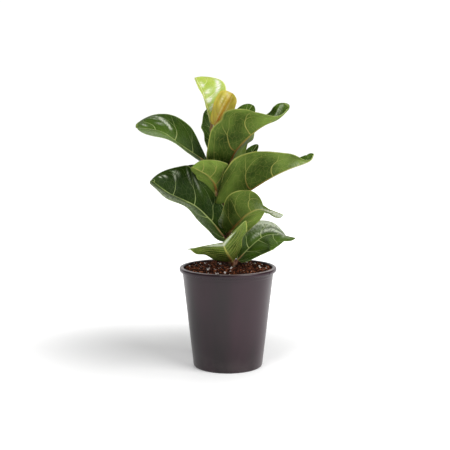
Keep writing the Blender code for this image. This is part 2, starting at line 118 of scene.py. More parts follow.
def cubic(a: Array, b: Array, c: Array, d: Array, t: Array) -> Array:
    """Go from b at 0 to c at 1 on a cubic, each slope half the way between its neighbours.

    Args:
        a: The value before b.
        b: The value at 0.
        c: The value at 1.
        d: The value after c.
        t: Places from 0 to 1.

    Returns:
        The value at each place.
    """
    bend = a - 2.5 * b + 2.0 * c - 0.5 * d
    twist = 0.5 * (d - a) + 1.5 * (b - c)
    return b + 0.5 * (c - a) * t + bend * t**2 + twist * t**3


def through(values: Sequence[float], station: Array) -> Array:
    """Read a smooth run of evenly spaced values.

    Up to five values are joined by one polynomial, by Lagrange's formula. More are joined by short
    cubic pieces, each bent by the values on both sides of it.

    Args:
        values: Values from the base to the tip.
        station: Places from 0 at the base to 1 at the tip.

    Returns:
        The value at each place.
    """
    places = np.linspace(0.0, 1.0, len(values))
    if len(values) > LONG_RUN:
        run = np.array([2 * values[0] - values[1], *values, 2 * values[-1] - values[-2]])
        first = np.clip(np.searchsorted(places, station, side="right") - 1, 0, len(values) - 2)
        return cubic(*(run[first + k] for k in range(4)), station * (len(values) - 1) - first)
    total = np.zeros(len(station))
    for value, place in zip(values, places):
        others = places[places != place]
        total += value * np.prod((station[:, None] - others) / (place - others), axis=-1)
    return total


def spline(points: Sequence[Sequence[float]], count: int) -> tuple[Array, float]:
    """Pass a smooth curve of cubic pieces through points.

    Args:
        points: The points that the curve passes.
        count: How many points to return.

    Returns:
        The curve's points at even distances, and its length.
    """
    knots = np.asarray(points, float)
    knots = np.vstack([2 * knots[0] - knots[1], knots, 2 * knots[-1] - knots[-2]])
    t = np.linspace(0.0, 1.0, CURVE_STEPS, endpoint=False)[:, None]
    runs = [cubic(*four, t) for four in zip(knots[:-3], knots[1:-2], knots[2:-1], knots[3:])]
    curve = np.vstack(runs + [knots[-2:-1]])
    steps = np.linalg.norm(np.diff(curve, axis=0), axis=1)
    travelled = np.concatenate([[0.0], np.cumsum(steps)])
    even = read(np.linspace(0.0, travelled[-1], count), travelled, curve)
    return even, float(travelled[-1])


def ripples(
    x: Array, y: Array, seed: int, longest: float,
    waves: int = 9, shorter: float = 0.78, lower: float = 0.8,
) -> Array:
    """Add up sine waves that cross a sheet in random directions, each shorter and lower.

    Args:
        x: First coordinate on the sheet, in millimetres.
        y: Second coordinate on the sheet, in millimetres.
        seed: Seed of the random directions and phases.
        longest: Length of the longest wave, in millimetres.
        waves: How many waves to add.
        shorter: Each wave's length as a share of the one before.
        lower: Each wave's height as a share of the one before.

    Returns:
        Heights between about -1 and 1.
    """
    draws = np.random.default_rng(seed)
    total = np.zeros(np.broadcast(x, y).shape)
    weight = 0.0
    for index in range(waves):
        length = longest * shorter**index
        turn, phase = draws.uniform(0.0, FULL_TURN, 2)
        ahead = x * np.cos(turn) + y * np.sin(turn)
        total += lower**index * np.sin(FULL_TURN * ahead / length + phase)
        weight += lower ** (2 * index)
    return total / (2.0 * weight**0.5)


def rounded(corners: Sequence[Triple], steps: int = 7) -> Array:
    """Ease a section's corners into short quadratic curves.

    Args:
        corners: Radius, height and rounding of each corner.
        steps: Points in each curve.

    Returns:
        Radii and heights along the section.
    """
    places = np.array([corner[:2] for corner in corners])
    t = np.linspace(0.0, 1.0, steps)[:, None]
    runs = []
    for index, (_, _, rounding) in enumerate(corners):
        place = places[index]
        if rounding == 0.0:
            runs.append(place[None, :])
            continue
        start = place + unit(places[index - 1] - place) * rounding
        end = place + unit(places[index + 1] - place) * rounding
        runs.append(start * (1 - t) ** 2 + 2 * place * t * (1 - t) + end * t**2)
    return np.vstack(runs)


# Meshes


def grid_quads(rows: int, columns: int, wrapped: bool = False) -> Array:
    """Number the quads of a grid of points, so that they face along columns crossed with rows.

    Args:
        rows: Rows of points.
        columns: Points in a row.
        wrapped: Whether the last column joins the first.

    Returns:
        Point numbers, four to a quad.
    """
    index = np.arange(rows * columns).reshape(rows, columns)
    after = np.roll(index, -1, axis=1)
    last = columns if wrapped else columns - 1
    corners = (index[:-1, :last], after[:-1, :last], after[1:, :last], index[1:, :last])
    return np.stack(corners, axis=-1).reshape(-1, 4)


def grid_normals(grid: Array) -> Array:
    """Give a grid's unit normals: across each row crossed with down each column."""
    return unit(np.cross(np.gradient(grid, axis=1), np.gradient(grid, axis=0)))


def joining_quads(run: Array, apart: int) -> Array:
    """Number the quads between a run of points and the same run further on in the list."""
    return np.stack([run[:-1], run[1:], run[1:] + apart, run[:-1] + apart], axis=-1)


def capped(rings: Array, first: Sequence, last: Sequence) -> tuple[Array, list[Array]]:
    """Close a stack of rings at both ends with fans.

    Args:
        rings: Points as rings, places in a ring and coordinates.
        first: The point that closes the first ring.
        last: The point that closes the last ring.

    Returns:
        All points, and the faces, which point outwards.
    """
    count, sides = rings.shape[:2]
    points = np.vstack([rings.reshape(-1, 3), first, last])
    side = np.arange(sides)
    after = np.roll(side, -1)
    top = (count - 1) * sides
    fans = np.vstack([
        np.stack([np.full(sides, len(points) - 2), after, side], axis=-1),
        np.stack([np.full(sides, len(points) - 1), top + side, top + after], axis=-1),
    ])
    return points, [grid_quads(count, sides, wrapped=True), fans]


@dataclass
class Patch:
    """A run of surface before it joins a piece.

    Attributes:
        points: Points in millimetres.
        faces: Arrays of point numbers, three or four to a face, by finish number.
        maps: Two numbers for each point, by map name.
        values: One number for each point, by attribute name.
    """

    points: Array
    faces: Mapping[int, Sequence[Array]]
    maps: Mapping[str, Array] = field(default_factory=dict)
    values: Mapping[str, Array] = field(default_factory=dict)


def make_piece(
    name: str,
    patches: Sequence[Patch],
    finishes: Sequence[bpy.types.Material],
    sharp_angle: float | None = None,
) -> bpy.types.Object:
    """Join patches into one mesh object.

    Args:
        name: The object's name.
        patches: The runs of surface.
        finishes: Materials, in the order of the patches' finish numbers.
        sharp_angle: Edges sharper than this many degrees stay sharp.

    Returns:
        The object, at the origin.
    """
    faces: list[list[int]] = []
    numbers: list[Array] = []
    start = 0
    for patch in patches:
        for number, blocks in patch.faces.items():
            for block in blocks:
                faces.extend((block + start).tolist())
                numbers.append(np.full(len(block), number, dtype=np.int32))
        start += len(patch.points)
    points = np.vstack([patch.points for patch in patches]) * MM
    mesh = bpy.data.meshes.new(name)
    mesh.from_pydata(points.tolist(), [], faces)
    mesh.polygons.foreach_set("material_index", np.concatenate(numbers))
    for finish in finishes:
        mesh.materials.append(finish)
    loops = np.empty(len(mesh.loops), dtype=np.int32)
    mesh.loops.foreach_get("vertex_index", loops)
    for key in sorted({key for patch in patches for key in patch.maps}):
        blank = [np.zeros((len(patch.points), 2)) for patch in patches]
        flat = np.vstack([patch.maps.get(key, zeros) for patch, zeros in zip(patches, blank)])
        layer = mesh.uv_layers.new(name=key)
        layer.data.foreach_set("uv", flat[loops].astype(np.float32).ravel())
    for key in sorted({key for patch in patches for key in patch.values}):
        blank = [np.zeros(len(patch.points)) for patch in patches]
        run = np.concatenate([patch.values.get(key, zeros) for patch, zeros in zip(patches, blank)])
        attribute = mesh.attributes.new(key, "FLOAT", "POINT")
        attribute.data.foreach_set("value", run.astype(np.float32))
    mesh.shade_smooth()
    if sharp_angle is not None:
        mesh.set_sharp_from_angle(angle=math.radians(sharp_angle))
    mesh.update()
    piece = bpy.data.objects.new(name, mesh)
    bpy.context.collection.objects.link(piece)
    return piece


def seat(piece: bpy.types.Object, slot: str, *nodes: str) -> None:
    """Make a piece ride on the body and hide the solids that it stands for.

    Args:
        piece: The piece.
        slot: The record's material slot. It is not used.
        nodes: Solids that the piece replaces.
    """
    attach(piece, BODY)
    if nodes:
        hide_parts(*nodes)
    LOG.info("%s: %d faces", piece.name, len(piece.data.polygons))


def turned(section: Array, angles: Array, inset: Callable[[Array, Array], Array]) -> Patch:
    """Turn a section round Z. Its two ends lie on the axis and are closed by fans.

    Args:
        section: Radii and heights, from the lower pole outwards and back to the upper one.
        angles: The angles of the rings' points, in radians.
        inset: Gives what to take off the radius from the section's points and the angles.

    Returns:
        The closed surface.
    """
    rings = section[1:-1]
    grid = polar(rings[:, :1] - inset(rings, angles), angles, rings[:, 1:])
    points, faces = capped(grid, (0.0, 0.0, section[0][1]), (0.0, 0.0, section[-1][1]))
    return Patch(points, {0: faces})


def swept(centres: Array, radii: Array, sides: int, reach: float = 0.0, finish: int = 0) -> Patch:
    """Carry a circle along a path and close both ends, the far one drawn out to a point.

    Args:
        centres: The path's points.
        radii: The circle's radius at each of them, or radii for each side as well.
        sides: Points in the circle.
        reach: How far the far end is drawn out.
        finish: The finish number.

    Returns:
        The closed tube, with the value "station" from 0 at its start to 1 at its end.
    """
    along = unit(np.gradient(centres, axis=0))
    aside = np.eye(3)[np.argmin(np.abs(along).max(axis=0))]
    side = unit(np.cross(along, aside))
    front = np.cross(along, side)
    angles = around(sides)[None, :, None]
    circle = side[:, None, :] * np.cos(angles) + front[:, None, :] * np.sin(angles)
    wide = radii if radii.ndim == 2 else radii[:, None]
    rings = centres[:, None, :] + circle * wide[..., None]
    points, faces = capped(rings, centres[0], centres[-1] + along[-1] * reach)
    station = np.repeat(np.linspace(0.0, 1.0, len(centres)), sides)
    values = {"station": np.concatenate([station, [0.0, 1.0]])}
    return Patch(points, {finish: faces}, values=values)


# Shader helpers


class Nodes:
    """Lays out one node tree and joins its sockets."""

    def __init__(self, tree: bpy.types.NodeTree) -> None:
        """Keep the tree to lay out."""
        self.tree = tree

    def feed(self, node: bpy.types.Node, feeds: Mapping[str | int, Feed]) -> None:
        """Join a node's inputs to other sockets, or set their own values.

        Args:
            node: The node.
            feeds: Values or sockets by input name or number. A colour has three numbers.
        """
        for key, value in feeds.items():
            socket = node.inputs[key]
            if isinstance(value, bpy.types.NodeSocket):
                self.tree.links.new(value, socket)
            elif socket.type == "RGBA":
                socket.default_value = (*value, 1.0)
            else:
                socket.default_value = value

    def add(self, kind: str, feeds: Mapping[str | int, Feed], **settings: object) -> bpy.types.Node:
        """Add a node.

        Args:
            kind: The node's type without its leading ShaderNode.
            feeds: Values or sockets by input name or number.
            settings: The node's own properties.

        Returns:
            The node.
        """
        node = self.tree.nodes.new("ShaderNode" + kind)
        for key, value in settings.items():
            setattr(node, key, value)
        self.feed(node, feeds)
        return node

    def math(self, operation: str, *values: Feed, clamp: bool = False) -> Socket:
        """Work one sum out and return its result."""
        node = self.add("Math", dict(enumerate(values)), operation=operation, use_clamp=clamp)
        return node.outputs[0]

    def plus(self, *values: Feed) -> Socket:
        """Add numbers up, from left to right."""
        return reduce(lambda total, value: self.math("ADD", total, value), values)

    def minus(self, value: Feed, less: Feed) -> Socket:
        """Take the second number off the first."""
        return self.math("SUBTRACT", value, less)

    def times(self, *values: Feed) -> Socket:
        """Multiply numbers, from left to right."""
        return reduce(lambda total, value: self.math("MULTIPLY", total, value), values)

    def highest(self, *values: Feed) -> Socket:
        """Give the highest of some numbers."""
        return reduce(lambda best, value: self.math("MAXIMUM", best, value), values)

    def fade(
        self, value: Feed, low: Feed, high: Feed, first: Feed = 0.0, last: Feed = 1.0
    ) -> Socket:
        """Ease from first to last as value goes from low to high."""
        feeds = {"Value": value, "From Min": low, "From Max": high, "To Min": first, "To Max": last}
        return self.add("MapRange", feeds, interpolation_type="SMOOTHSTEP").outputs["Result"]

    def blend(self, share: Feed, first: Feed, second: Feed) -> Socket:
        """Mix two colours: the first at a share of 0, the second at 1."""
        feeds = {0: share, MIX_FIRST: first, MIX_SECOND: second}
        return self.add("Mix", feeds, data_type="RGBA").outputs[MIX_RESULT]

    def noise(self, place: Feed, scale: Feed, detail: float, roughness: float = 0.5) -> Socket:
        """Read smooth noise between 0 and 1, with finer layers by its detail and roughness."""
        feeds = {"Vector": place, "Scale": scale, "Detail": detail, "Roughness": roughness}
        return self.add("TexNoise", feeds).outputs[0]

    def cells(self, place: Feed, scale: float) -> Socket:
        """Read the distance to the nearest wall of a net of cells on a flat map."""
        settings = {"feature": "DISTANCE_TO_EDGE", "voronoi_dimensions": "2D"}
        walls = self.add("TexVoronoi", {"Vector": place, "Scale": scale}, **settings)
        return walls.outputs["Distance"]

    def object_place(self) -> Socket:
        """Read the place in the piece's own coordinates, in metres."""
        return self.add("TexCoord", {}).outputs["Object"]

    def map_place(self, name: str) -> Socket:
        """Read a named map of the piece."""
        return self.add("UVMap", {}, uv_map=name).outputs["UV"]

    def value_at(self, name: str) -> Socket:
        """Read a named number of the piece's points."""
        return self.add("Attribute", {}, attribute_name=name).outputs["Fac"]

    def stretched(self, place: Feed, scale: Triple) -> Socket:
        """Scale a place along its three axes."""
        return self.add("Mapping", {"Vector": place, "Scale": scale}).outputs[0]

    def axes(self, vector: Feed) -> tuple[Socket, Socket, Socket]:
        """Split a vector into its three numbers."""
        outputs = self.add("SeparateXYZ", {0: vector}).outputs
        return outputs[0], outputs[1], outputs[2]

    def vector(self, *numbers: Feed) -> Socket:
        """Join up to three numbers into a vector."""
        return self.add("CombineXYZ", dict(enumerate(numbers))).outputs[0]

    def group(self, tree: bpy.types.NodeTree, feeds: Mapping[str, Feed]) -> bpy.types.NodeOutputs:
        """Place a node group and return its outputs."""
        return self.add("Group", feeds, node_tree=tree).outputs

    def spots(self, place: Feed, patch_size: float, speck_size: float) -> bpy.types.NodeOutputs:
        """Place the group for uneven surfaces, with its sizes in lumps to the metre."""
        feeds = {"Place": place, "Patch Size": patch_size, "Speck Size": speck_size}
        return self.group(grime_group(), feeds)

    def bump(self, height: Feed, depth: float, strength: float, inward: bool = False) -> Socket:
        """Turn heights from 0 to 1, which stand for a depth in metres, into a normal."""
        feeds = {"Height": height, "Distance": depth, "Strength": strength}
        return self.add("Bump", feeds, invert=inward).outputs[0]


class Group(Nodes):
    """A node group with named inputs and outputs."""

    def __init__(self, name: str, inputs: Mapping[str, str], outputs: Sequence[str]) -> None:
        """Make the group and its sockets.

        Args:
            name: The group's name.
            inputs: Socket kinds by input name.
            outputs: The outputs' names. Each is a number.
        """
        tree = bpy.data.node_groups.new(name, "ShaderNodeTree")
        super().__init__(tree)
        for key, kind in inputs.items():
            tree.interface.new_socket(name=key, in_out="INPUT", socket_type="NodeSocket" + kind)
        for key in outputs:
            tree.interface.new_socket(name=key, in_out="OUTPUT", socket_type="NodeSocketFloat")
        self.given = tree.nodes.new("NodeGroupInput").outputs
        self.results = tree.nodes.new("NodeGroupOutput")

    def give(self, **results: Feed) -> bpy.types.NodeTree:
        """Join the group's outputs, by their names, and return the finished tree."""
        self.feed(self.results, results)
        return self.tree


@cache
def vein_group() -> bpy.types.NodeTree:
    """Make the group that draws a leaf's veins.

    A side vein lies where the vein count is whole. About half the way to the margin it forks, and
    its branches part until they meet those of the next veins in arches. The net is the walls of two
    sizes of cell that are laid out along the veins. The midrib narrows to the tip. Widths are in
    millimetres.

    Returns:
        The group, with the masks Midrib, Side, Net and Margin and the height Relief.
    """
    vein_width, core_share, weak_branch = 0.95, 0.3, 0.6
    fork_reach, fork_span, fork_bend = 0.5, 0.47, 1.3
    rib_widths, rib_core = (1.1, 0.5), 0.45
    coarse_cells, coarse_wall, fine_cells, fine_wall = 1.7, 0.075, 5.5, 0.12
    fine_share, net_relief, net_length = 0.45, 0.3, 4.0
    at_margin, tip_start, at_tip = 0.4, 0.3, 0.6
    margin_reach, arch_reach, arch_share = (0.955, 0.975), (0.75, 0.98), 0.3
    group = Group(
        "Leaf veins",
        {"Veins": "Vector", "Blade": "Vector", "Station": "Float", "Spacing": "Float"},
        ("Midrib", "Side", "Net", "Margin", "Relief"),
    )
    station, spacing = group.given["Station"], group.given["Spacing"]
    count, reach, _ = group.axes(group.given["Veins"])
    across, _, _ = group.axes(group.given["Blade"])

    def line(away: Socket, core: Feed, width: Feed) -> Socket:
        """Draw a line: 1 as far as its core, and 0 from its width on."""
        return group.fade(away, core, width, 1.0, 0.0)

    apart = group.times(group.minus(count, group.math("ROUND", count)), spacing)
    past = group.math("DIVIDE", group.minus(reach, fork_reach), fork_span, clamp=True)
    spread = group.times(group.math("POWER", past, fork_bend), 0.5, spacing)
    tipward = group.math("ABSOLUTE", group.minus(apart, spread))
    baseward = group.math("ABSOLUTE", group.plus(apart, spread))
    thinned = group.times(
        group.fade(reach, 0.0, 1.0, 1.0, at_margin),
        group.fade(station, tip_start, 1.0, 1.0, at_tip),
    )
    width = group.times(thinned, vein_width)
    core = group.times(width, core_share)
    branches = group.highest(
        line(tipward, core, width), group.times(line(baseward, core, width), weak_branch)
    )
    side = group.times(branches, group.fade(reach, *arch_reach, 1.0, arch_share))
    middle = group.times(group.math("ABSOLUTE", across), 1.0 / MAP_SCALE)
    rib = group.fade(station, 0.0, 1.0, *rib_widths)
    midrib = line(middle, group.times(rib, rib_core), rib)
    along_veins = group.times(count, group.times(spacing, MAP_SCALE))
    laid_out = group.vector(along_veins, group.times(reach, net_length))
    coarse = line(group.cells(laid_out, coarse_cells), 0.0, coarse_wall)
    fine = line(group.cells(laid_out, fine_cells), 0.0, fine_wall)
    net = group.highest(coarse, group.times(fine, fine_share))
    margin = group.fade(reach, *margin_reach)
    relief = group.highest(midrib, side, group.times(net, net_relief))
    return group.give(Midrib=midrib, Side=side, Net=net, Margin=margin, Relief=relief)


@cache
def grime_group() -> bpy.types.NodeTree:
    """Make the group for uneven surfaces: broad patches, fine specks and a little of both.

    Returns:
        The group, with Patches, Specks and Both between 0 and 1.
    """
    sizes = {"Place": "Vector", "Patch Size": "Float", "Speck Size": "Float"}
    group = Group("Uneven surface", sizes, ("Patches", "Specks", "Both"))
    patch_edges, speck_edges = (0.32, 0.68), (0.55, 0.72)
    place = group.given["Place"]
    patches = group.fade(group.noise(place, group.given["Patch Size"], 3.0), *patch_edges)
    specks = group.fade(group.noise(place, group.given["Speck Size"], 2.0), *speck_edges)
    both = group.times(group.plus(patches, specks), 0.5)
    return group.give(Patches=patches, Specks=specks, Both=both)


# Finishes


@dataclass(frozen=True)
class Finish:
    """A named finish. Each kind lays out its own nodes."""

    name: str

    def paint(self, nodes: Nodes) -> Mapping[str, Feed]:
        """Lay out the nodes and return what the surface shader's inputs take, by input name."""
        raise NotImplementedError

    @cache
    def material(self) -> bpy.types.Material:
        """Make the material at the first call, and return the same one at every later call.

        Returns:
            The material.
        """
        material = bpy.data.materials.new(self.name)
        material.use_nodes = True
        nodes = Nodes(material.node_tree)
        nodes.feed(material.node_tree.nodes["Principled BSDF"], self.paint(nodes))
        return material


@dataclass(frozen=True)
class LeafFace(Finish):
    """The finish of one face of a leaf.

    Shares and strengths go from 0 to 1. Patches and specks are sized in lumps to the metre, and a
    relief is its height in metres and how much of it shows.
    """

    deep: Colour
    bright: Colour
    vein_root: Colour
    vein_end: Colour
    net_share: float
    side_share: float
    roughness: float
    shine: float
    raised: bool
    midrib_share: float = 0.92
    margin_share: float = 0.7
    root_pull: float = 1.5
    root_reach: Pair = (0.05, 1.15)
    flush: float = 0.0
    flush_reach: float = 0.5
    patch_size: float = 32.0
    patch_tone: float = 0.38
    speck_size: float = 420.0
    speck_height: Pair = (0.06, -0.04)
    # Painted highlight: the pale sheen colour, and the stretch, noise and cut-offs of its streaks.
    film: Colour = (0.56, 0.60, 0.46)
    sheen_stretch: Triple = (0.9, 3.2, 1.0)
    sheen_noise: Triple = (1.6, 3.0, 0.6)
    sheen_range: tuple[float, ...] = (0.38, 0.6, 0.35, 1.25)
    worn_roughness: float = 0.14
    vein_roughness: float = 0.12
    relief: Pair = (0.0005, 0.8)
    glow: float = 0.12
    glow_spread: Triple = (0.6, 1.0, 0.25)
    glow_depth: float = 0.0022

    def paint(self, nodes: Nodes) -> Mapping[str, Feed]:
        """Lay out the blade's tone and painted light, its veins and net, the streaky painted sheen
        and the relief.

        Args:
            nodes: The material's node layout.

        Returns:
            What the surface shader's inputs take.
        """
        station, blade_map = nodes.value_at("station"), nodes.map_place("blade")
        vein_map = nodes.map_place("veins")
        lines = nodes.group(vein_group(), {
            "Veins": vein_map,
            "Blade": blade_map,
            "Station": station,
            "Spacing": nodes.value_at("spacing"),
        })
        spots = nodes.spots(nodes.object_place(), self.patch_size, self.speck_size)
        _, reach, _ = nodes.axes(vein_map)
        patchy = nodes.times(nodes.minus(spots["Patches"], 0.5), self.patch_tone)
        # Painted light: the blade's value from base to tip and its soft patches, plus random
        # patches of real tone, mix the deep colour towards the bright one where light falls or
        # shines through.
        tone = nodes.highest(nodes.plus(nodes.value_at("tone"), patchy), 0.0)
        blade = nodes.blend(tone, self.deep, self.bright)
        flushed = nodes.fade(reach, 0.0, self.flush_reach, self.flush, 0.0)
        colour = nodes.blend(flushed, blade, self.vein_root)
        further = nodes.plus(reach, nodes.times(station, self.root_pull))
        vein = nodes.blend(nodes.fade(further, *self.root_reach), self.vein_root, self.vein_end)
        for mask, share, shown in (
            ("Net", self.net_share, self.vein_end),
            ("Side", self.side_share, vein),
            ("Midrib", self.midrib_share, vein),
            ("Margin", self.margin_share, self.vein_end),
        ):
            colour = nodes.blend(nodes.times(lines[mask], share), colour, shown)
        # Painted sheen: pale streaks of the sheen colour where highlights fall, in the leaf's soft
        # sheen patches.
        streak_noise = nodes.noise(nodes.stretched(blade_map, self.sheen_stretch), *self.sheen_noise)
        sheen_streaks = nodes.fade(streak_noise, *self.sheen_range)
        sheen_share = nodes.math("MULTIPLY", nodes.value_at("film"), sheen_streaks, clamp=True)
        worn = nodes.times(spots["Both"], self.worn_roughness)
        ribbed = nodes.times(lines["Side"], self.vein_roughness)
        specks = nodes.times(spots["Specks"], self.speck_height[0 if self.raised else 1])
        height = nodes.plus(lines["Relief"], specks)
        return {
            "Base Color": nodes.blend(sheen_share, colour, self.film),
            "Roughness": nodes.plus(worn, ribbed, self.roughness),
            "Normal": nodes.bump(height, *self.relief, inward=not self.raised),
            "Specular IOR Level": self.shine,
            "Subsurface Weight": self.glow,
            "Subsurface Radius": self.glow_spread,
            "Subsurface Scale": self.glow_depth,
        }


@dataclass(frozen=True)
class StalkFinish(Finish):
    """The skin of the leaf stalks, brown by the stem and greener by the blade."""

    foot: Colour
    end: Colour
    speck: Colour = (0.07, 0.03, 0.015)
    patch_size: float = 160.0
    speck_size: float = 900.0
    patch_tone: float = 0.5
    end_range: Pair = (0.25, 0.9)
    speck_share: float = 0.35
    relief: Pair = (0.0003, 0.6)
    roughness: float = 0.48

    def paint(self, nodes: Nodes) -> Mapping[str, Feed]:
        """Lay out the change of colour along the stalk, its specks and its relief.

        Args:
            nodes: The material's node layout.

        Returns:
            What the surface shader's inputs take.
        """
        spots = nodes.spots(nodes.object_place(), self.patch_size, self.speck_size)
        patchy = nodes.times(nodes.minus(spots["Patches"], 0.5), self.patch_tone)
        share = nodes.fade(nodes.plus(nodes.value_at("station"), patchy), *self.end_range)
        skin = nodes.blend(share, self.foot, self.end)
        specks = nodes.times(spots["Specks"], self.speck_share)
        return {
            "Base Color": nodes.blend(specks, skin, self.speck),
            "Normal": nodes.bump(spots["Both"], *self.relief),
            "Roughness": self.roughness,
        }


@dataclass(frozen=True)
class BarkFinish(Finish):
    """Bark or dry sheath: streaks along the stem, cracks and pale pores."""

    dark: Colour
    light: Colour
    stretch: float
    roughness: float = 0.78
    pore: Colour = (0.42, 0.33, 0.22)
    streaks: Triple = (520.0, 4.0, 0.65)
    streak_range: Pair = (0.3, 0.7)
    patch_size: float = 110.0
    patch_shade: float = 0.55
    speck_size: float = 640.0
    pore_share: float = 0.4
    relief: Pair = (0.0006, 0.7)

    def paint(self, nodes: Nodes) -> Mapping[str, Feed]:
        """Lay out the streaks, the pores and their relief.

        Args:
            nodes: The material's node layout.

        Returns:
            What the surface shader's inputs take.
        """
        place = nodes.object_place()
        tall = nodes.stretched(place, (1.0, 1.0, self.stretch))
        streaks = nodes.noise(tall, *self.streaks)
        spots = nodes.spots(place, self.patch_size, self.speck_size)
        shaded = nodes.fade(spots["Patches"], 0.0, 1.0, self.patch_shade, 1.0)
        share = nodes.times(nodes.fade(streaks, *self.streak_range), shaded)
        bark = nodes.blend(share, self.dark, self.light)
        pores = nodes.times(spots["Specks"], self.pore_share)
        height = nodes.plus(streaks, nodes.times(pores, 0.5))
        return {
            "Base Color": nodes.blend(pores, bark, self.pore),
            "Normal": nodes.bump(height, *self.relief),
            "Roughness": self.roughness,
        }


@dataclass(frozen=True)
class GrainFinish(Finish):
    """Loose grains or the ground under them, each grain with its own shade."""

    shades: tuple[Colour, Colour, Colour]
    roughness: float
    patch_size: float = 700.0
    speck_ratio: float = 2.2
    middle_shade: float = 0.62
    spot_share: float = 0.45
    shine: float = 0.12
    relief: Pair = (0.0004, 0.7)

    def paint(self, nodes: Nodes) -> Mapping[str, Feed]:
        """Lay out each grain's own shade, its dark spots and its relief.

        Args:
            nodes: The material's node layout.

        Returns:
            What the surface shader's inputs take.
        """
        speck_size = self.speck_ratio * self.patch_size
        spots = nodes.spots(nodes.object_place(), self.patch_size, speck_size)
        shade = nodes.value_at("shade")
        dark, middle, light = self.shades
        colour = nodes.blend(nodes.fade(shade, 0.0, self.middle_shade), dark, middle)
        colour = nodes.blend(nodes.fade(shade, self.middle_shade, 1.0), colour, light)
        return {
            "Base Color": nodes.blend(nodes.times(spots["Both"], self.spot_share), colour, dark),
            "Normal": nodes.bump(spots["Both"], *self.relief),
            "Roughness": self.roughness,
            "Specular IOR Level": self.shine,
        }


@dataclass(frozen=True)
class PlasticFinish(Finish):
    """The pot's satin plastic with faint flow marks, dust and a painted highlight along its lip.

    Dust and the lip's painted highlight are given as the heights where they start and end, in
    metres, and their share.
    """

    deep: Colour
    warm: Colour
    dust: Colour
    # Colour of the painted highlight along the lip's top.
    worn: Colour
    roughness: float
    shine: float
    flow_stretch: Triple = (1.0, 1.0, 0.25)
    flow_sizes: Pair = (26.0, 900.0)
    scuff_sizes: Pair = (60.0, 1500.0)
    foot_dust: Triple = (0.0, 0.03, 0.5)
    lip_dust: Triple = (0.1335, 0.135, 0.04)
    # The painted highlight's band at the lip's top.
    lip_highlight: Triple = (0.1341, 0.1349, 0.6)
    gloss_size: float = 14.0
    gloss_range: tuple[float, ...] = (0.3, 0.7, 0.0, 0.05)
    grain: Triple = (380.0, 1.0, 0.4)
    relief: Pair = (0.00001, 0.4)

    def paint(self, nodes: Nodes) -> Mapping[str, Feed]:
        """Lay out the flow marks, the dust, the lip's painted highlight, the uneven gloss and the
        fine grain.

        Args:
            nodes: The material's node layout.

        Returns:
            What the surface shader's inputs take.
        """
        place = nodes.object_place()
        _, _, height = nodes.axes(place)
        flow = nodes.spots(nodes.stretched(place, self.flow_stretch), *self.flow_sizes)
        scuffs = nodes.spots(place, *self.scuff_sizes)

        def on_lip(start: float, full: float, share: float) -> Socket:
            """Read the share of what lies on the lip at this height."""
            return nodes.fade(height, start, full, 0.0, share)

        foot, clear, most = self.foot_dust
        dust = nodes.plus(nodes.fade(height, foot, clear, most, 0.0), on_lip(*self.lip_dust))
        colour = nodes.blend(flow["Patches"], self.deep, self.warm)
        colour = nodes.blend(nodes.times(dust, scuffs["Both"]), colour, self.dust)
        # Painted highlight: a pale patchy band at the lip's top.
        edge = nodes.times(on_lip(*self.lip_highlight), flow["Patches"])
        gloss = nodes.fade(nodes.noise(place, self.gloss_size, 0.0), *self.gloss_range)
        return {
            "Base Color": nodes.blend(edge, colour, self.worn),
            "Roughness": nodes.plus(gloss, self.roughness),
            "Normal": nodes.bump(nodes.noise(place, *self.grain), *self.relief),
            "Specular IOR Level": self.shine,
        }


@dataclass(frozen=True)
class FloorFinish(Finish):
    """The studio's pale floor, which glows but for a soft shadow round the pot's foot.

    The glow and the shadow's reach are given from the shadow's middle outwards, in metres.
    """

    colour: Colour = (0.80, 0.80, 0.80)
    glow: Pair = (0.2, 0.84)
    middle: Pair = (-0.08, 0.06)
    shadow_length: float = 1.15
    shadow_reach: Pair = (0.07, 0.38)
    roughness: float = 0.6
    shine: float = 0.2

    def paint(self, nodes: Nodes) -> Mapping[str, Feed]:
        """Lay out the glow by the distance from the shadow's middle.

        Args:
            nodes: The material's node layout.

        Returns:
            What the surface shader's inputs take.
        """
        across, deep, _ = nodes.axes(nodes.object_place())
        aside = nodes.minus(across, self.middle[0])
        ahead = nodes.times(nodes.minus(deep, self.middle[1]), self.shadow_length)
        away = nodes.math("SQRT", nodes.plus(nodes.times(aside, aside), nodes.times(ahead, ahead)))
        return {
            "Base Color": self.colour,
            "Emission Color": WHITE,
            "Emission Strength": nodes.fade(away, *self.shadow_reach, *self.glow),
            "Roughness": self.roughness,
            "Specular IOR Level": self.shine,
        }


@dataclass(frozen=True)
class BackdropFinish(Finish):
    """The studio's white backdrop, which only glows."""

    glow: float

    def paint(self, nodes: Nodes) -> Mapping[str, Feed]:
        """Give the plain glow. No nodes are laid out."""
        return {"Base Color": BLACK, "Emission Color": WHITE, "Emission Strength": self.glow}


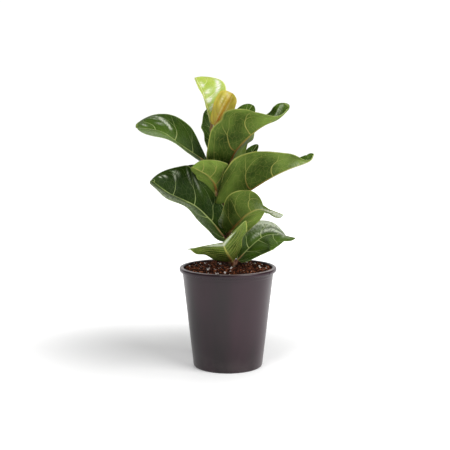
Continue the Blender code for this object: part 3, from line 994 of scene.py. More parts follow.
# Colours by finish, in linear light. The leaves' sheen colours and the pot's worn colour are
# painted highlights.
UPPER_GREEN = LeafFace(
    "leaf_green_upper", deep=(0.014, 0.038, 0.002), bright=(0.085, 0.165, 0.010),
    vein_root=(0.40, 0.46, 0.16), vein_end=(0.40, 0.48, 0.18),
    net_share=0.14, side_share=0.95, roughness=0.28, shine=0.1, raised=False,
)
UNDER_GREEN = LeafFace(
    "leaf_green_under", deep=(0.018, 0.045, 0.0015), bright=(0.215, 0.325, 0.055),
    vein_root=(0.17, 0.068, 0.014), vein_end=(0.36, 0.36, 0.085),
    net_share=0.26, side_share=1.0, roughness=0.52, shine=0.1, raised=True,
)
UPPER_LIME = LeafFace(
    "leaf_lime_upper", deep=(0.30, 0.44, 0.02), bright=(0.46, 0.55, 0.09),
    vein_root=(0.76, 0.68, 0.18), vein_end=(0.80, 0.80, 0.42),
    net_share=0.2, side_share=0.7, roughness=0.34, shine=0.3, raised=False, glow=0.2,
    film=(0.80, 0.82, 0.68),
)
UNDER_LIME = LeafFace(
    "leaf_lime_under", deep=(0.44, 0.53, 0.07), bright=(0.72, 0.76, 0.30),
    vein_root=(0.72, 0.60, 0.16), vein_end=(0.76, 0.76, 0.36),
    net_share=0.2, side_share=0.7, roughness=0.34, shine=0.4, raised=True, glow=0.2,
)
UPPER_AMBER = LeafFace(
    "leaf_amber_upper", deep=(0.42, 0.34, 0.03), bright=(0.68, 0.60, 0.09),
    vein_root=(0.50, 0.13, 0.01), vein_end=(0.56, 0.32, 0.03),
    net_share=0.22, side_share=0.7, roughness=0.3, shine=0.35, raised=False, flush=0.25,
    glow=0.2, film=(0.85, 0.80, 0.45),
)
UNDER_AMBER = LeafFace(
    "leaf_amber_under", deep=(0.48, 0.38, 0.02), bright=(0.62, 0.58, 0.10),
    vein_root=(0.46, 0.12, 0.01), vein_end=(0.52, 0.30, 0.03),
    net_share=0.22, side_share=0.7, roughness=0.34, shine=0.4, raised=True, flush=0.4, glow=0.2,
)
GREEN_STALK = StalkFinish("stalk_green", foot=(0.15, 0.055, 0.022), end=(0.34, 0.24, 0.07))
YOUNG_STALK = StalkFinish("stalk_young", foot=(0.24, 0.13, 0.04), end=(0.55, 0.52, 0.14))
STEM_BARK = BarkFinish("stem_bark", (0.055, 0.032, 0.020), (0.20, 0.13, 0.075), stretch=0.22)
DRY_SHEATH = BarkFinish("dry_sheath", (0.07, 0.025, 0.012), (0.24, 0.11, 0.05), stretch=0.15)
END_BUD = BarkFinish("end_bud", (0.20, 0.24, 0.08), (0.62, 0.64, 0.42), stretch=0.15, roughness=0.5)
SOIL_GROUND = GrainFinish(
    "soil_ground", ((0.008, 0.004, 0.003), (0.018, 0.008, 0.005), (0.04, 0.018, 0.011)),
    roughness=0.95, patch_size=420.0,
)
PEAT = GrainFinish(
    "peat_crumb", ((0.007, 0.002, 0.001), (0.050, 0.014, 0.006), (0.36, 0.115, 0.050)),
    roughness=0.92,
)
BARK_CHIP = GrainFinish(
    "bark_chip", ((0.028, 0.007, 0.003), (0.170, 0.046, 0.018), (0.50, 0.180, 0.085)),
    roughness=0.85,
)
PERLITE = GrainFinish(
    "perlite", ((0.62, 0.55, 0.52), (0.85, 0.80, 0.78), (0.92, 0.90, 0.88)), roughness=0.9
)
POT_PLASTIC = PlasticFinish(
    "pot_plastic", deep=(0.013, 0.007, 0.009), warm=(0.027, 0.009, 0.016),
    dust=(0.10, 0.08, 0.08), worn=(0.32, 0.25, 0.24), roughness=0.285, shine=0.38,
)


class LeafKind(Enum):
    """The ages of leaf: the record's slot and the finishes of upper face, under face and stalk."""

    GREEN = ("leaf_green", UPPER_GREEN, UNDER_GREEN, GREEN_STALK)
    LIME = ("leaf_lime", UPPER_LIME, UNDER_LIME, YOUNG_STALK)
    AMBER = ("leaf_amber", UPPER_AMBER, UNDER_AMBER, YOUNG_STALK)

    def __init__(self, slot: str, *finishes: Finish) -> None:
        """Keep the slot and the finishes."""
        self.slot = slot
        self.finishes = finishes


# Pot and soil


@dataclass
class Pot:
    """The tapered pot with its rolled rim, recessed foot and drain holes, in millimetres."""

    height: float = 135.0
    rim_diameter: float = 130.0
    rim_lip: float = 6.0
    rim_overhang: float = 3.2
    rim_rounding: float = 2.6
    rim_inner_rounding: float = 1.4
    step_below_lip: float = 4.5
    step_depth: float = 0.35
    step_roundings: Triple = (0.5, 0.2, 0.3)  # Under it, at its corner and over it
    foot_diameter: float = 93.0
    foot_recess: float = 1.2
    foot_ring_width: float = 6.0
    foot_ring_rounding: float = 0.3
    foot_pad_radius: float = 18.0
    foot_rounding: float = 2.6
    wall: float = 2.0
    floor: float = 3.0
    floor_rounding: float = 2.0
    sides: int = 240
    sharp_angle: float = 32.0
    nick_angle: float = -33.6
    nick_half_width: float = 0.55
    nick_edges: Pair = (0.96, 1.04)  # Points just inside and outside it, in half widths
    nick_depth: float = 1.3
    nick_band: Pair = (1.2, 1.6)  # It takes points this near the rim's face, this far under its top
    drain_holes: int = 6
    drain_diameter: float = 9.0
    drain_circle_radius: float = 28.0
    drain_turn: float = 3.0
    drain_overcut: float = 2.0
    drain_sides: int = 40

    def wall_radius(self, height: float) -> float:
        """Give the outer radius under the rim at a height, on a straight taper."""
        top = self.rim_diameter / 2.0 - self.rim_overhang
        return float(np.interp(height, (0.0, self.height), (self.foot_diameter / 2.0, top)))

    def section(self) -> Array:
        """Give the section from the foot's middle round the rim to the floor's middle.

        Returns:
            Radii and heights.
        """
        rim, foot = self.rim_diameter / 2.0, self.foot_diameter / 2.0
        lip_low = self.height - self.rim_lip
        step = lip_low - self.step_below_lip
        ring = foot - self.foot_ring_width
        middle = self.height / 2.0
        below, corner, above = self.step_roundings
        return rounded([
            (0.0, 0.0, 0.0),
            (self.foot_pad_radius, 0.0, 0.0),
            (self.foot_pad_radius + self.foot_recess, self.foot_recess, 0.0),
            (ring - self.foot_recess, self.foot_recess, 0.0),
            (ring, 0.0, self.foot_ring_rounding),
            (foot, 0.0, self.foot_rounding),
            (self.wall_radius(middle), middle, 0.0),
            (self.wall_radius(step), step, below),
            (self.wall_radius(step) + self.step_depth, step + self.step_depth, corner),
            (self.wall_radius(lip_low) + self.step_depth, lip_low, above),
            (rim, lip_low, self.rim_rounding),
            (rim, self.height, self.rim_rounding),
            (self.wall_radius(self.height) - self.wall, self.height, self.rim_inner_rounding),
            (self.wall_radius(middle) - self.wall, middle, 0.0),
            (self.wall_radius(self.floor) - self.wall, self.floor, self.floor_rounding),
            (0.0, self.floor, 0.0),
        ])

    def nick(self, rings: Array, angles: Array) -> Array:
        """Give the small nick in the rim's outer face: a depth inside its width, nothing elsewhere.

        Args:
            rings: Radii and heights of the section.
            angles: Angles round the pot.

        Returns:
            What to take off the radius, for each ring and angle.
        """
        depth, below_top = self.nick_band
        outer = rings[:, 0] > self.rim_diameter / 2.0 - depth
        low = rings[:, 1] < self.height - below_top
        turn = np.degrees(np.angle(np.exp(1j * (angles - math.radians(self.nick_angle)))))
        inside = np.abs(turn) < self.nick_half_width
        return self.nick_depth * np.outer(outer & low, inside)

    def drains(self) -> bpy.types.Object:
        """Make the cutter for the drain holes: upright round rods through the floor.

        Returns:
            The cutter.
        """
        rods = []
        heights = (-self.drain_overcut, 0.0, self.floor, 2.0 * self.floor)
        radii = np.full(len(heights), self.drain_diameter / 2.0)
        for angle in math.radians(self.drain_turn) + around(self.drain_holes):
            path = polar(self.drain_circle_radius, angle, np.array(heights))
            rods.append(swept(path, radii, self.drain_sides))
        return make_piece("drain_cutter", rods, [])

    def build(self) -> None:
        """Turn the pot, cut its drain holes and seat it."""
        nearly, past = self.nick_edges
        edges = np.array([-past, -nearly, 0.0, nearly, past]) * self.nick_half_width
        at_nick = np.radians(self.nick_angle + edges) % FULL_TURN
        angles = np.unique(np.concatenate([around(self.sides), at_nick]))
        body = turned(self.section(), angles, self.nick)
        blank = make_piece("pot_blank", [body], [POT_PLASTIC.material()])
        cutter = self.drains()
        modifier = blank.modifiers.new("Drains", "BOOLEAN")
        modifier.operation = "DIFFERENCE"
        modifier.solver = "EXACT"
        modifier.object = cutter
        graph = bpy.context.evaluated_depsgraph_get()
        mesh = bpy.data.meshes.new_from_object(blank.evaluated_get(graph))
        mesh.name = "pot_shell"
        piece = bpy.data.objects.new("pot_shell", mesh)
        bpy.context.collection.objects.link(piece)
        mesh.shade_smooth()
        mesh.set_sharp_from_angle(angle=math.radians(self.sharp_angle))
        bpy.data.objects.remove(blank)
        bpy.data.objects.remove(cutter)
        seat(piece, "pot_plastic", "pot")


@dataclass(frozen=True)
class Grains:
    """Loose grains of one kind.

    Sizes are the smallest and largest half length, form is the proportions along a grain's axes,
    sink is a share of its half height, and tilt is its spread in degrees.
    """

    name: str
    finish: Finish
    count: int
    sizes: Pair
    form: Triple
    sink: float
    tilt: float


@dataclass
class SoilBed:
    """The soil with its loose bark, peat crumbs and perlite, in millimetres."""

    pot: Pot
    drop: float = 2.6
    crown: float = 2.0
    lump: float = 0.8
    lump_length: float = 34.0
    gap: float = 0.3
    middle_radius: float = 0.6
    rings: int = 70
    sides: int = 180
    ground_shade: float = 0.4
    seed: int = 21
    grain_margins: Pair = (1.4, 0.2)  # Of the grains' middles and of their points
    size_bias: float = 2.2
    shade_bias: float = 1.3
    stretch: Pair = (0.75, 1.25)
    dents: Pair = (0.72, 1.18)
    kinds: tuple[Grains, ...] = (  # Each with its own seed, in this order
        Grains("bark_chips", BARK_CHIP, 1500, (0.9, 3.2), (1.0, 0.55, 0.32), sink=0.5, tilt=22.0),
        Grains("peat_crumbs", PEAT, 4600, (0.45, 1.5), (1.0, 0.8, 0.7), sink=0.4, tilt=40.0),
        Grains("perlite_grains", PERLITE, 75, (0.8, 1.9), (1.0, 0.85, 0.8), sink=0.1, tilt=40.0),
    )

    def edge(self) -> float:
        """Give the soil's radius at its top edge."""
        return self.pot.wall_radius(self.pot.height - self.drop) - self.pot.wall - self.gap

    def top(self, x: Array, y: Array) -> Array:
        """Give the soil's height: a low cone towards the middle with lumps.

        Args:
            x: First coordinate.
            y: Second coordinate.

        Returns:
            Heights.
        """
        away = np.clip(np.hypot(x, y) / self.edge(), 0.0, 1.0)
        cone = self.pot.height - self.drop + self.crown * (1.0 - away)
        return cone + self.lump * ripples(x, y, self.seed, self.lump_length)

    def body(self) -> Patch:
        """Give the soil's closed body: lumpy top, straight sides and flat bottom.

        Returns:
            The body's surface.
        """
        pot, angles = self.pot, around(self.sides)
        bottom = pot.floor + self.gap
        low = pot.wall_radius(bottom) - pot.wall - self.gap
        foot = polar(
            np.array([[low - pot.floor_rounding], [low]]), angles,
            np.array([[bottom], [bottom + pot.floor_rounding]]),
        )
        grid = polar(np.linspace(self.edge(), self.middle_radius, self.rings)[:, None], angles, 0.0)
        grid[..., 2] = self.top(grid[..., 0], grid[..., 1])
        middle = float(self.top(np.zeros(1), np.zeros(1))[0])
        points, faces = capped(np.concatenate([foot, grid]), (0.0, 0.0, bottom), (0.0, 0.0, middle))
        return Patch(points, {0: faces}, values={"shade": np.full(len(points), self.ground_shade)})

    def scatter(self, grains: Grains, seed: int) -> Patch:
        """Strew grains over the soil.

        Each grain is a twenty-sided ball with its points moved in and out, stretched, turned and
        laid on the soil.

        Args:
            grains: The kind of grain.
            seed: Seed of the random draws.

        Returns:
            The grains' surfaces, each with its own value "shade".
        """
        draws, count = np.random.default_rng(seed), grains.count
        ball = bmesh.new()
        bmesh.ops.create_icosphere(ball, subdivisions=1, radius=1.0)
        corners = np.array([vertex.co[:] for vertex in ball.verts])
        faces = np.array([[vertex.index for vertex in face.verts] for face in ball.faces])
        ball.free()
        inset, clearance = self.grain_margins
        away = (self.edge() - inset) * np.sqrt(draws.uniform(0.0, 1.0, count))
        turn = draws.uniform(0.0, FULL_TURN, count)
        x, y = away * np.cos(turn), away * np.sin(turn)
        smallest, largest = grains.sizes
        larger = draws.uniform(0.0, 1.0, count) ** self.size_bias
        size = smallest + (largest - smallest) * larger
        axes = np.array(grains.form) * draws.uniform(*self.stretch, (count, 3)) * size[:, None]
        dented = corners[None] * draws.uniform(*self.dents, (count, len(corners), 1))
        points = dented * axes[:, None, :]
        yaw = draws.uniform(0.0, FULL_TURN, count)[:, None]
        lean = np.radians(draws.normal(0.0, grains.tilt, count))[:, None]
        flat, upright = rotated(points[..., 0], points[..., 2], lean)
        along, across = rotated(flat, points[..., 1], yaw)
        base = self.top(x, y) + axes[:, 2] * (1.0 - grains.sink)
        middles = np.stack([x, y, base], axis=-1)[:, None]
        placed = np.stack([along, across, upright], axis=-1) + middles
        reach = np.maximum(np.hypot(placed[..., 0], placed[..., 1]), TINY)
        placed[..., :2] *= np.minimum(1.0, (self.edge() - clearance) / reach)[..., None]
        numbers = faces[None] + np.arange(count)[:, None, None] * len(corners)
        shade = np.repeat(draws.uniform(0.0, 1.0, count) ** self.shade_bias, len(corners))
        return Patch(placed.reshape(-1, 3), {0: [numbers.reshape(-1, 3)]}, values={"shade": shade})

    def build(self) -> None:
        """Build the soil and its grains."""
        ground = make_piece("soil_bed", [self.body()], [SOIL_GROUND.material()], sharp_angle=50.0)
        seat(ground, "soil_mix", "soil")
        for seed, grains in enumerate(self.kinds, self.seed + 1):
            patches, finishes = [self.scatter(grains, seed)], [grains.finish.material()]
            seat(make_piece(grains.name, patches, finishes, sharp_angle=25.0), "soil_mix")


# Stem


@dataclass
class Stem:
    """The stem with its swollen nodes, dry sheaths and buds, in millimetres and degrees.

    The low sheath and the bud's sheath are given as height, turn, length and half width, and the
    low side bud as height, turn and length.
    """

    axis: tuple[Triple, ...] = (
        (6.5, -1.5, 95.0),
        (5.5, -1.0, 135.0),
        (0.5, 0.0, 172.0),
        (-6.0, 1.0, 216.0),
        (-13.0, 2.0, 262.0),
        (-20.0, 3.0, 316.0),
    )
    radius_foot: float = 4.6
    radius_top: float = 2.6
    node_swell: float = 0.5
    node_length: float = 1.8
    bark_height: float = 0.12
    bark_length: float = 9.0
    bark_stretch: Pair = (0.5, 2.0)  # Along and across the stem
    bark_seed: int = 5
    sheath_gap: float = 0.75
    sheath_lean: float = 1.6
    sheath_curl: Triple = (0.25, 9.0, 7.0)  # Height, and radians across and along
    sheath_thickness: float = 0.35
    sheath_thinning: float = 0.6
    sheath_power: float = 1.6
    sheath_grid: tuple[int, int] = (16, 11)
    low_sheath: tuple[float, ...] = (177.0, 215.0, 15.0, 80.0)
    low_bud: Triple = (172.5, 205.0, 9.0)
    side_bud_sink: float = 1.0
    side_bud_lean: float = 0.45
    bud_length: float = 16.0
    bud_foot: float = 6.0
    bud_sheath: tuple[float, ...] = (313.0, 250.0, 16.0, 95.0)
    bud_tip: float = 0.4
    bud_power: float = 0.8
    sheath_lengths: Pair = (7.0, 12.0)
    sheath_widths: Pair = (45.0, 75.0)
    sheath_drift: Pair = (-1.5, 2.5)  # From the leaf's foot
    bud_rings: tuple[int, int] = (30, 16)  # Of the end bud and of a side bud
    seed: int = 11
    samples: int = 241
    rings: int = 260
    sides: int = 36

    def centre(self, height: float) -> Array:
        """Give the stem's centre at a height."""
        curve, _ = spline(self.axis, self.samples)
        return read(height, curve[:, 2], curve)

    def radius(self, height: Array | float) -> Array:
        """Give the stem's radius at heights, on a straight taper."""
        ends = (self.axis[0][2], self.axis[-1][2])
        return np.interp(height, ends, (self.radius_foot, self.radius_top))

    def tube(self, nodes: Sequence[float]) -> Patch:
        """Give the stem's surface: the taper, a bell curve at each node and a rough skin.

        Args:
            nodes: Heights of the leaves' feet.

        Returns:
            The closed surface.
        """
        path, _ = spline(self.axis, self.rings)
        height = path[:, 2]
        swelling = sum(bell(height - node, self.node_length) for node in nodes)
        plain = self.radius(height) + self.node_swell * np.clip(swelling, 0.0, 1.0)
        girth = around(self.sides) * self.radius_foot
        along, across = self.bark_stretch
        x, y = height[:, None] * along, girth[None, :] * across
        bark = self.bark_height * ripples(x, y, self.bark_seed, self.bark_length)
        return swept(path, plain[:, None] + bark, self.sides, reach=3.0)

    def sheath(self, height: float, turn: float, length: float, width: float) -> Patch:
        """Give one dry sheath: a pointed scale that clasps the stem and leans out at its tip.

        Its half width falls from its full value at the foot to nothing at the tip, as one less a
        power of the station, and it curves round the stem's axis. Its edges curl by a sine.

        Args:
            height: Height of its foot.
            turn: Angle of its middle round the stem, in degrees.
            length: Its length.
            width: Its half width at the foot, as degrees round the stem.

        Returns:
            The closed scale.
        """
        rows, columns = self.sheath_grid
        u = np.linspace(0.0, 1.0, rows)[:, None]
        v = np.linspace(-1.0, 1.0, columns)[None, :]
        angle = np.radians(turn + v * width * (1.0 - u**self.sheath_power))
        curl, across, along = self.sheath_curl
        curled = self.sheath_lean * u**2 + curl * np.sin(across * v + along * u)
        lean = self.radius(height) + self.sheath_gap + curled
        centre = self.centre(height)
        middle = centre + (self.centre(height + length) - centre) * u[..., None]
        out = polar(1.0, angle, 0.0)
        outer = middle + out * lean[..., None]
        thickness = self.sheath_thickness * (1.0 - self.sheath_thinning * u)
        inner = middle + out * (lean - thickness)[..., None]
        count = rows * columns
        quads = grid_quads(rows, columns)
        index = np.arange(count).reshape(rows, columns)
        sides = (index[0, :], index[1:, -1], index[-1, -2::-1], index[-2::-1, 0])
        rim = joining_quads(np.concatenate(sides)[::-1], count)
        points = np.vstack([outer.reshape(-1, 3), inner.reshape(-1, 3)])
        station = np.tile(np.repeat(u.ravel(), columns), 2)
        return Patch(points, {0: [quads, quads[:, ::-1] + count, rim]}, values={"station": station})

    def spindle(self, path: Array, swell: float, start: float, sides: int, reach: float) -> Patch:
        """Give a bud: its radius is a power of a sine, from a place in its half wave on.

        Args:
            path: Points along the bud.
            swell: How much it swells.
            start: Where in the half wave it starts, as a share.
            sides: Points in a ring.
            reach: How far its tip is drawn out.

        Returns:
            The closed bud.
        """
        share = start + (1.0 - start) * np.linspace(0.0, 1.0, len(path))
        radii = self.bud_tip + swell * np.sin(np.pi * share) ** self.bud_power
        return swept(path, radii, sides, reach)

    def bud(self) -> Patch:
        """Give the end bud, which goes on from the stem's end.

        Returns:
            The closed bud.
        """
        end, before = np.array(self.axis[-1]), np.array(self.axis[-2])
        tip = self.bud_length - 0.5 * self.bud_foot
        places = np.linspace(-self.bud_foot, tip, self.bud_rings[0])
        path = end + unit(end - before) * places[:, None]
        return self.spindle(path, swell=2.5, start=0.3, sides=20, reach=1.0)

    def side_bud(self, height: float, turn: float, length: float) -> Patch:
        """Give one side bud, which leans out of the stem.

        Args:
            height: Height of its foot.
            turn: Angle of its side of the stem, in degrees.
            length: Its length.

        Returns:
            The closed bud.
        """
        out = polar(1.0, math.radians(turn), 0.0)
        foot = self.centre(height) + out * (self.radius(height) - self.side_bud_sink)
        places = np.linspace(0.0, length, self.bud_rings[1])
        path = foot + (out * self.side_bud_lean + UPWARDS) * places[:, None]
        return self.spindle(path, swell=2.0, start=0.25, sides=16, reach=0.6)

    def build(self, nodes: Sequence[float]) -> None:
        """Build the stem.

        Args:
            nodes: Heights of the leaves' feet.
        """
        wood = make_piece("stem_wood", [self.tube(nodes)], [STEM_BARK.material()])
        seat(wood, "stem_bark", "stem")
        draws = np.random.default_rng(self.seed)
        scales = [self.sheath(*self.low_sheath), self.side_bud(*self.low_bud)]
        for height in np.repeat(sorted(nodes), 2):
            turn = draws.uniform(0.0, 360.0)
            length, width = draws.uniform(*self.sheath_lengths), draws.uniform(*self.sheath_widths)
            foot = height + draws.uniform(*self.sheath_drift)
            scales.append(self.sheath(foot, turn, length, width))
        young = [self.bud(), self.sheath(*self.bud_sheath)]
        for name, patches, finish in (
            ("stem_sheaths", scales, DRY_SHEATH),
            ("end_bud", young, END_BUD),
        ):
            piece = make_piece(name, patches, [finish.material()], sharp_angle=60.0)
            seat(piece, "stem_bark")


# Leaves


@dataclass(frozen=True)
class LeafForm:
    """One leaf's shape, as the solids have it, and how its face differs from its neighbours.

    A soft patch is its station, its reach (left is negative), its half length, its half width and
    its strength.

    Attributes:
        node: The solid that the leaf replaces.
        midrib: Points along the midrib, in millimetres.
        half_width: Half the blade's greatest width, in millimetres.
        facing: The direction that the upper face looks to.
        left: Fold of the left half from base to tip, in degrees.
        right: Fold of the right half from base to tip, in degrees.
        base: Width at the base as a share of the greatest.
        widest: Station of the greatest width.
        lobe: How far the left and right halves reach back at the base.
        crest: How far they reach ahead at the tip.
        blunt: How blunt the tip is.
        tail: Share of the length that is a narrow tail.
        tail_width: Width of the tail as a share of the greatest.
        wave: Height of the margin's waves, in millimetres.
        waves: How many waves there are.
        left_share: The left half's width from base to tip, as shares.
        right_share: The right half's width from base to tip, as shares.
        foot_drop: How far under the blade's base the stalk leaves the stem.
        kind: The leaf's age.
        tone: Brightness at base and tip, 0 dark to 1 bright, partly painted light.
        veins: Side veins on each half.
        shift: Where the left and right side veins start, in parts of a spacing.
        light_and_tone_patches: Soft brighter or darker patches: painted light and shade, some own
            tone.
        painted_sheens: Soft patches of painted sheen, pale where highlights fall.
    """

    node: str
    midrib: tuple[Triple, ...]
    half_width: float
    facing: Triple
    left: tuple[float, ...]
    right: tuple[float, ...]
    base: float = 0.5
    widest: float = 0.66
    lobe: Pair = (0.0, 0.0)
    crest: Pair = (0.0, 0.0)
    blunt: float = 5.0
    tail: float = 0.0
    tail_width: float = 0.16
    wave: float = 2.0
    waves: float = 2.5
    left_share: tuple[float, ...] = (1.0,)
    right_share: tuple[float, ...] = (1.0,)
    foot_drop: float = 8.0
    kind: LeafKind = LeafKind.GREEN
    tone: Pair = (0.2, 0.4)
    veins: float = 3.6
    shift: Pair = (0.0, 0.25)
    light_and_tone_patches: tuple[tuple[float, ...], ...] = ()
    painted_sheens: tuple[tuple[float, ...], ...] = ()

    def stem_height(self) -> float:
        """Give the height at which the stalk leaves the stem."""
        return self.midrib[0][2] - self.foot_drop


@dataclass
class LeafPiece:
    """Works out one leaf's blade and stalk, in millimetres.

    Lumps and dips have their full height on a leaf of the usual width. The stalk's taper is its
    radius at places from foot to end, as shares.
    """

    form: LeafForm
    stem: Stem
    seed: int
    stations: int = 241
    spacing: float = 0.85
    wider_spacing: float = 1.1  # Across, as a share of the spacing along
    fewest: tuple[int, int] = (40, 16)  # Rows, and columns of a half
    crowding: Pair = (1.15, 1.12)  # Powers that gather rows at the base, columns at the midrib
    thickness: float = 0.8
    rim_thickness: float = 0.28
    rim_power: int = 8
    rib_height: float = 1.1
    rib_width: float = 1.35
    side_rib_height: float = 0.38
    side_rib_width: float = 0.85
    grooves: Pair = (0.14, 0.22)  # Over a side vein and over the midrib
    rib_fading: Pair = (0.75, 0.78)  # Of side veins to the margin, of the midrib to the tip
    relief_ends: Triple = (0.16, 0.02, 0.06)  # Where it fades and ends at the tip and starts
    relief_margin: float = 0.88
    rise_start: float = -0.05
    tail_range: Pair = (0.4, 0.8)
    tail_power: int = 8
    corner_cut: float = 0.42
    corner_length: float = 0.13
    lobe_end: float = 0.35
    crest_start: float = 0.62
    lobe_form: Pair = (0.9, 0.65)  # Share of a half wave across, and the reach's power
    vein_rise: Pair = (0.03, 0.30)  # By the reach and by its square
    vein_wobble: Triple = (0.07, 7.0, 5.0)  # Height, and radians along and across
    half_phase: float = 0.4  # How far the right half's waves are ahead, in waves
    pucker: float = 1.15
    pucker_power: float = 0.7
    lump: float = 0.45
    lump_length: float = 46.0
    dip: float = 0.5
    dip_width: float = 5.0
    usual_half_width: float = 45.0
    stalk_radius: float = 1.9
    stalk_sink: float = 0.8
    stalk_end: float = 0.14
    stalk_depths: Triple = (0.75, 0.6, 0.375)  # Under the blade's base, then along it, in radii
    stalk_bends: Triple = (0.3, 0.1, 0.25)  # Out and up at the stem, and back at the blade
    stalk_taper: tuple = ((0.0, 0.08, 0.2, 0.7, 1.0), (1.35, 1.2, 1.0, 0.9, 0.3))
    stalk_rings: int = 44
    stalk_sides: int = 18

    def frames(self) -> tuple[Array, Array, Array, Array, Array, float]:
        """Work out the midrib.

        Returns:
            Its stations, centres and directions along, across and up, and its length.
        """
        centres, length = spline(self.form.midrib, self.stations)
        along = unit(np.gradient(centres, axis=0))
        facing = unit(np.asarray(self.form.facing, float))
        up = unit(facing - (along @ facing)[:, None] * along)
        return np.linspace(0.0, 1.0, self.stations), centres, along, np.cross(along, up), up, length

    def outline(self, station: Array) -> Array:
        """Give the half width at stations as a share of the widest.

        It rises with an ease to the widest place, is cut back at the base's corners and closes at
        the tip as the root of one less a high power. A tail adds a narrow strip in the same way.

        Args:
            station: Places along the midrib.

        Returns:
            Shares of the greatest half width.
        """
        form = self.form
        body = np.clip(station / (1.0 - form.tail), 0.0, 1.0)
        grown = form.base + (1.0 - form.base) * smooth(body, self.rise_start, form.widest)
        corner = 1.0 - self.corner_cut * np.clip(1.0 - body / self.corner_length, 0.0, 1.0) ** 2
        blade = grown * corner * np.sqrt(np.clip(1.0 - body**form.blunt, 0.0, 1.0))
        if form.tail == 0.0:
            return blade
        drip = form.tail_width * np.sqrt(np.clip(1.0 - station**self.tail_power, 0.0, 1.0))
        drip = drip * smooth(station, *self.tail_range)
        return (blade**4 + drip**4) ** 0.25

    def vein_count(self, rows: Array, columns: Array) -> Array:
        """Count side veins from the base: they leave the midrib steeply and bend towards the tip.

        The count is the station less a small share of the reach and a larger share of its square,
        times the number of veins, with a slow wobble.

        Args:
            rows: Stations.
            columns: Reaches from -1 at the left margin to 1 at the right one.

        Returns:
            The count at each row and column. Veins lie where it is whole.
        """
        form = self.form
        body = rows[:, None] / (1.0 - form.tail)
        reach, side = np.abs(columns)[None, :], np.sign(columns)[None, :]
        shift = np.where(side > 0.0, form.shift[1], form.shift[0])
        shift = np.where(side == 0.0, 0.5 * sum(form.shift), shift)
        height, along, across = self.vein_wobble
        wobble = height * np.sin(along * body + across * reach * side + self.seed)
        first, second = self.vein_rise
        rise = body - first * reach - second * reach**2
        return form.veins * rise + shift + wobble * reach

    def grid(self, rows: Array, columns: Array) -> dict[str, Array]:
        """Give the blade's middle sheet with its maps, before relief is added.

        Each half is a strip that is turned about the midrib by its fold and waves by a sine. The
        base's lobes and the tip's crest slide points along the midrib.

        Args:
            rows: Stations.
            columns: Reaches.

        Returns:
            Points, places across and along, vein count, reach and station at each point.
        """
        form = self.form
        station, *runs, length = self.frames()
        centre, ahead, side, rise = (read(rows, station, run)[:, None, :] for run in runs)
        shape, down = self.outline(rows)[:, None], rows[:, None]
        reach, right = np.abs(columns), columns >= 0.0

        def by_half(left: Sequence[float], right_half: Sequence[float]) -> Array:
            """Read the left or the right half's values at the stations, by column."""
            return np.where(right, through(right_half, rows)[:, None], through(left, rows)[:, None])

        fold = np.radians(by_half(form.left, form.right))[..., None]
        half = form.half_width * shape * by_half(form.left_share, form.right_share)
        swing = np.sin(FULL_TURN * (form.waves * down + np.where(right, self.half_phase, 0.0)))
        wave = (form.wave * reach**2 * swing * shape)[..., None]
        bulge = np.sin(self.lobe_form[0] * np.pi * reach ** self.lobe_form[1])
        near_base = np.clip(1.0 - down / self.lobe_end, 0.0, 1.0) ** 2
        back = (np.where(right, *form.lobe[::-1]) * length * near_base * bulge)[..., None]
        near_tip = np.clip((down - self.crest_start) / (1.0 - self.crest_start), 0.0, 1.0) ** 2
        fore = (np.where(right, *form.crest[::-1]) * length * near_tip * shape * bulge)[..., None]
        outward = np.where(right, 1.0, -1.0)[None, :, None] * side
        blade_out = outward * np.cos(fold) + rise * np.sin(fold)
        blade_up = rise * np.cos(fold) - outward * np.sin(fold)
        spread = (half * reach)[..., None]
        return {
            "points": centre + blade_out * spread + blade_up * wave + ahead * (fore - back),
            "across": half * columns[None, :],
            "along": down * length - back[..., 0],
            "count": self.vein_count(rows, columns),
            "reach": np.repeat(reach[None, :], len(rows), axis=0),
            "station": np.repeat(down, len(columns), axis=1),
        }

    def patched(self, patches: Sequence[Sequence[float]], rows: Array, columns: Array) -> Array:
        """Add up soft patches.

        Each is a bell curve across the side veins and another along them. As the veins do, it bends
        towards the tip with the square of the reach.

        Args:
            patches: The patches.
            rows: Stations.
            columns: Reaches.

        Returns:
            The sum at each row and column.
        """
        total = np.zeros((len(rows), len(columns)))
        for station, reach, long, wide, strength in patches:
            bend = self.vein_rise[1] * (columns[None, :] ** 2 - reach**2)
            ahead = bell(rows[:, None] - station - bend, long)
            total += strength * ahead * bell(columns[None, :] - reach, wide)
        return total

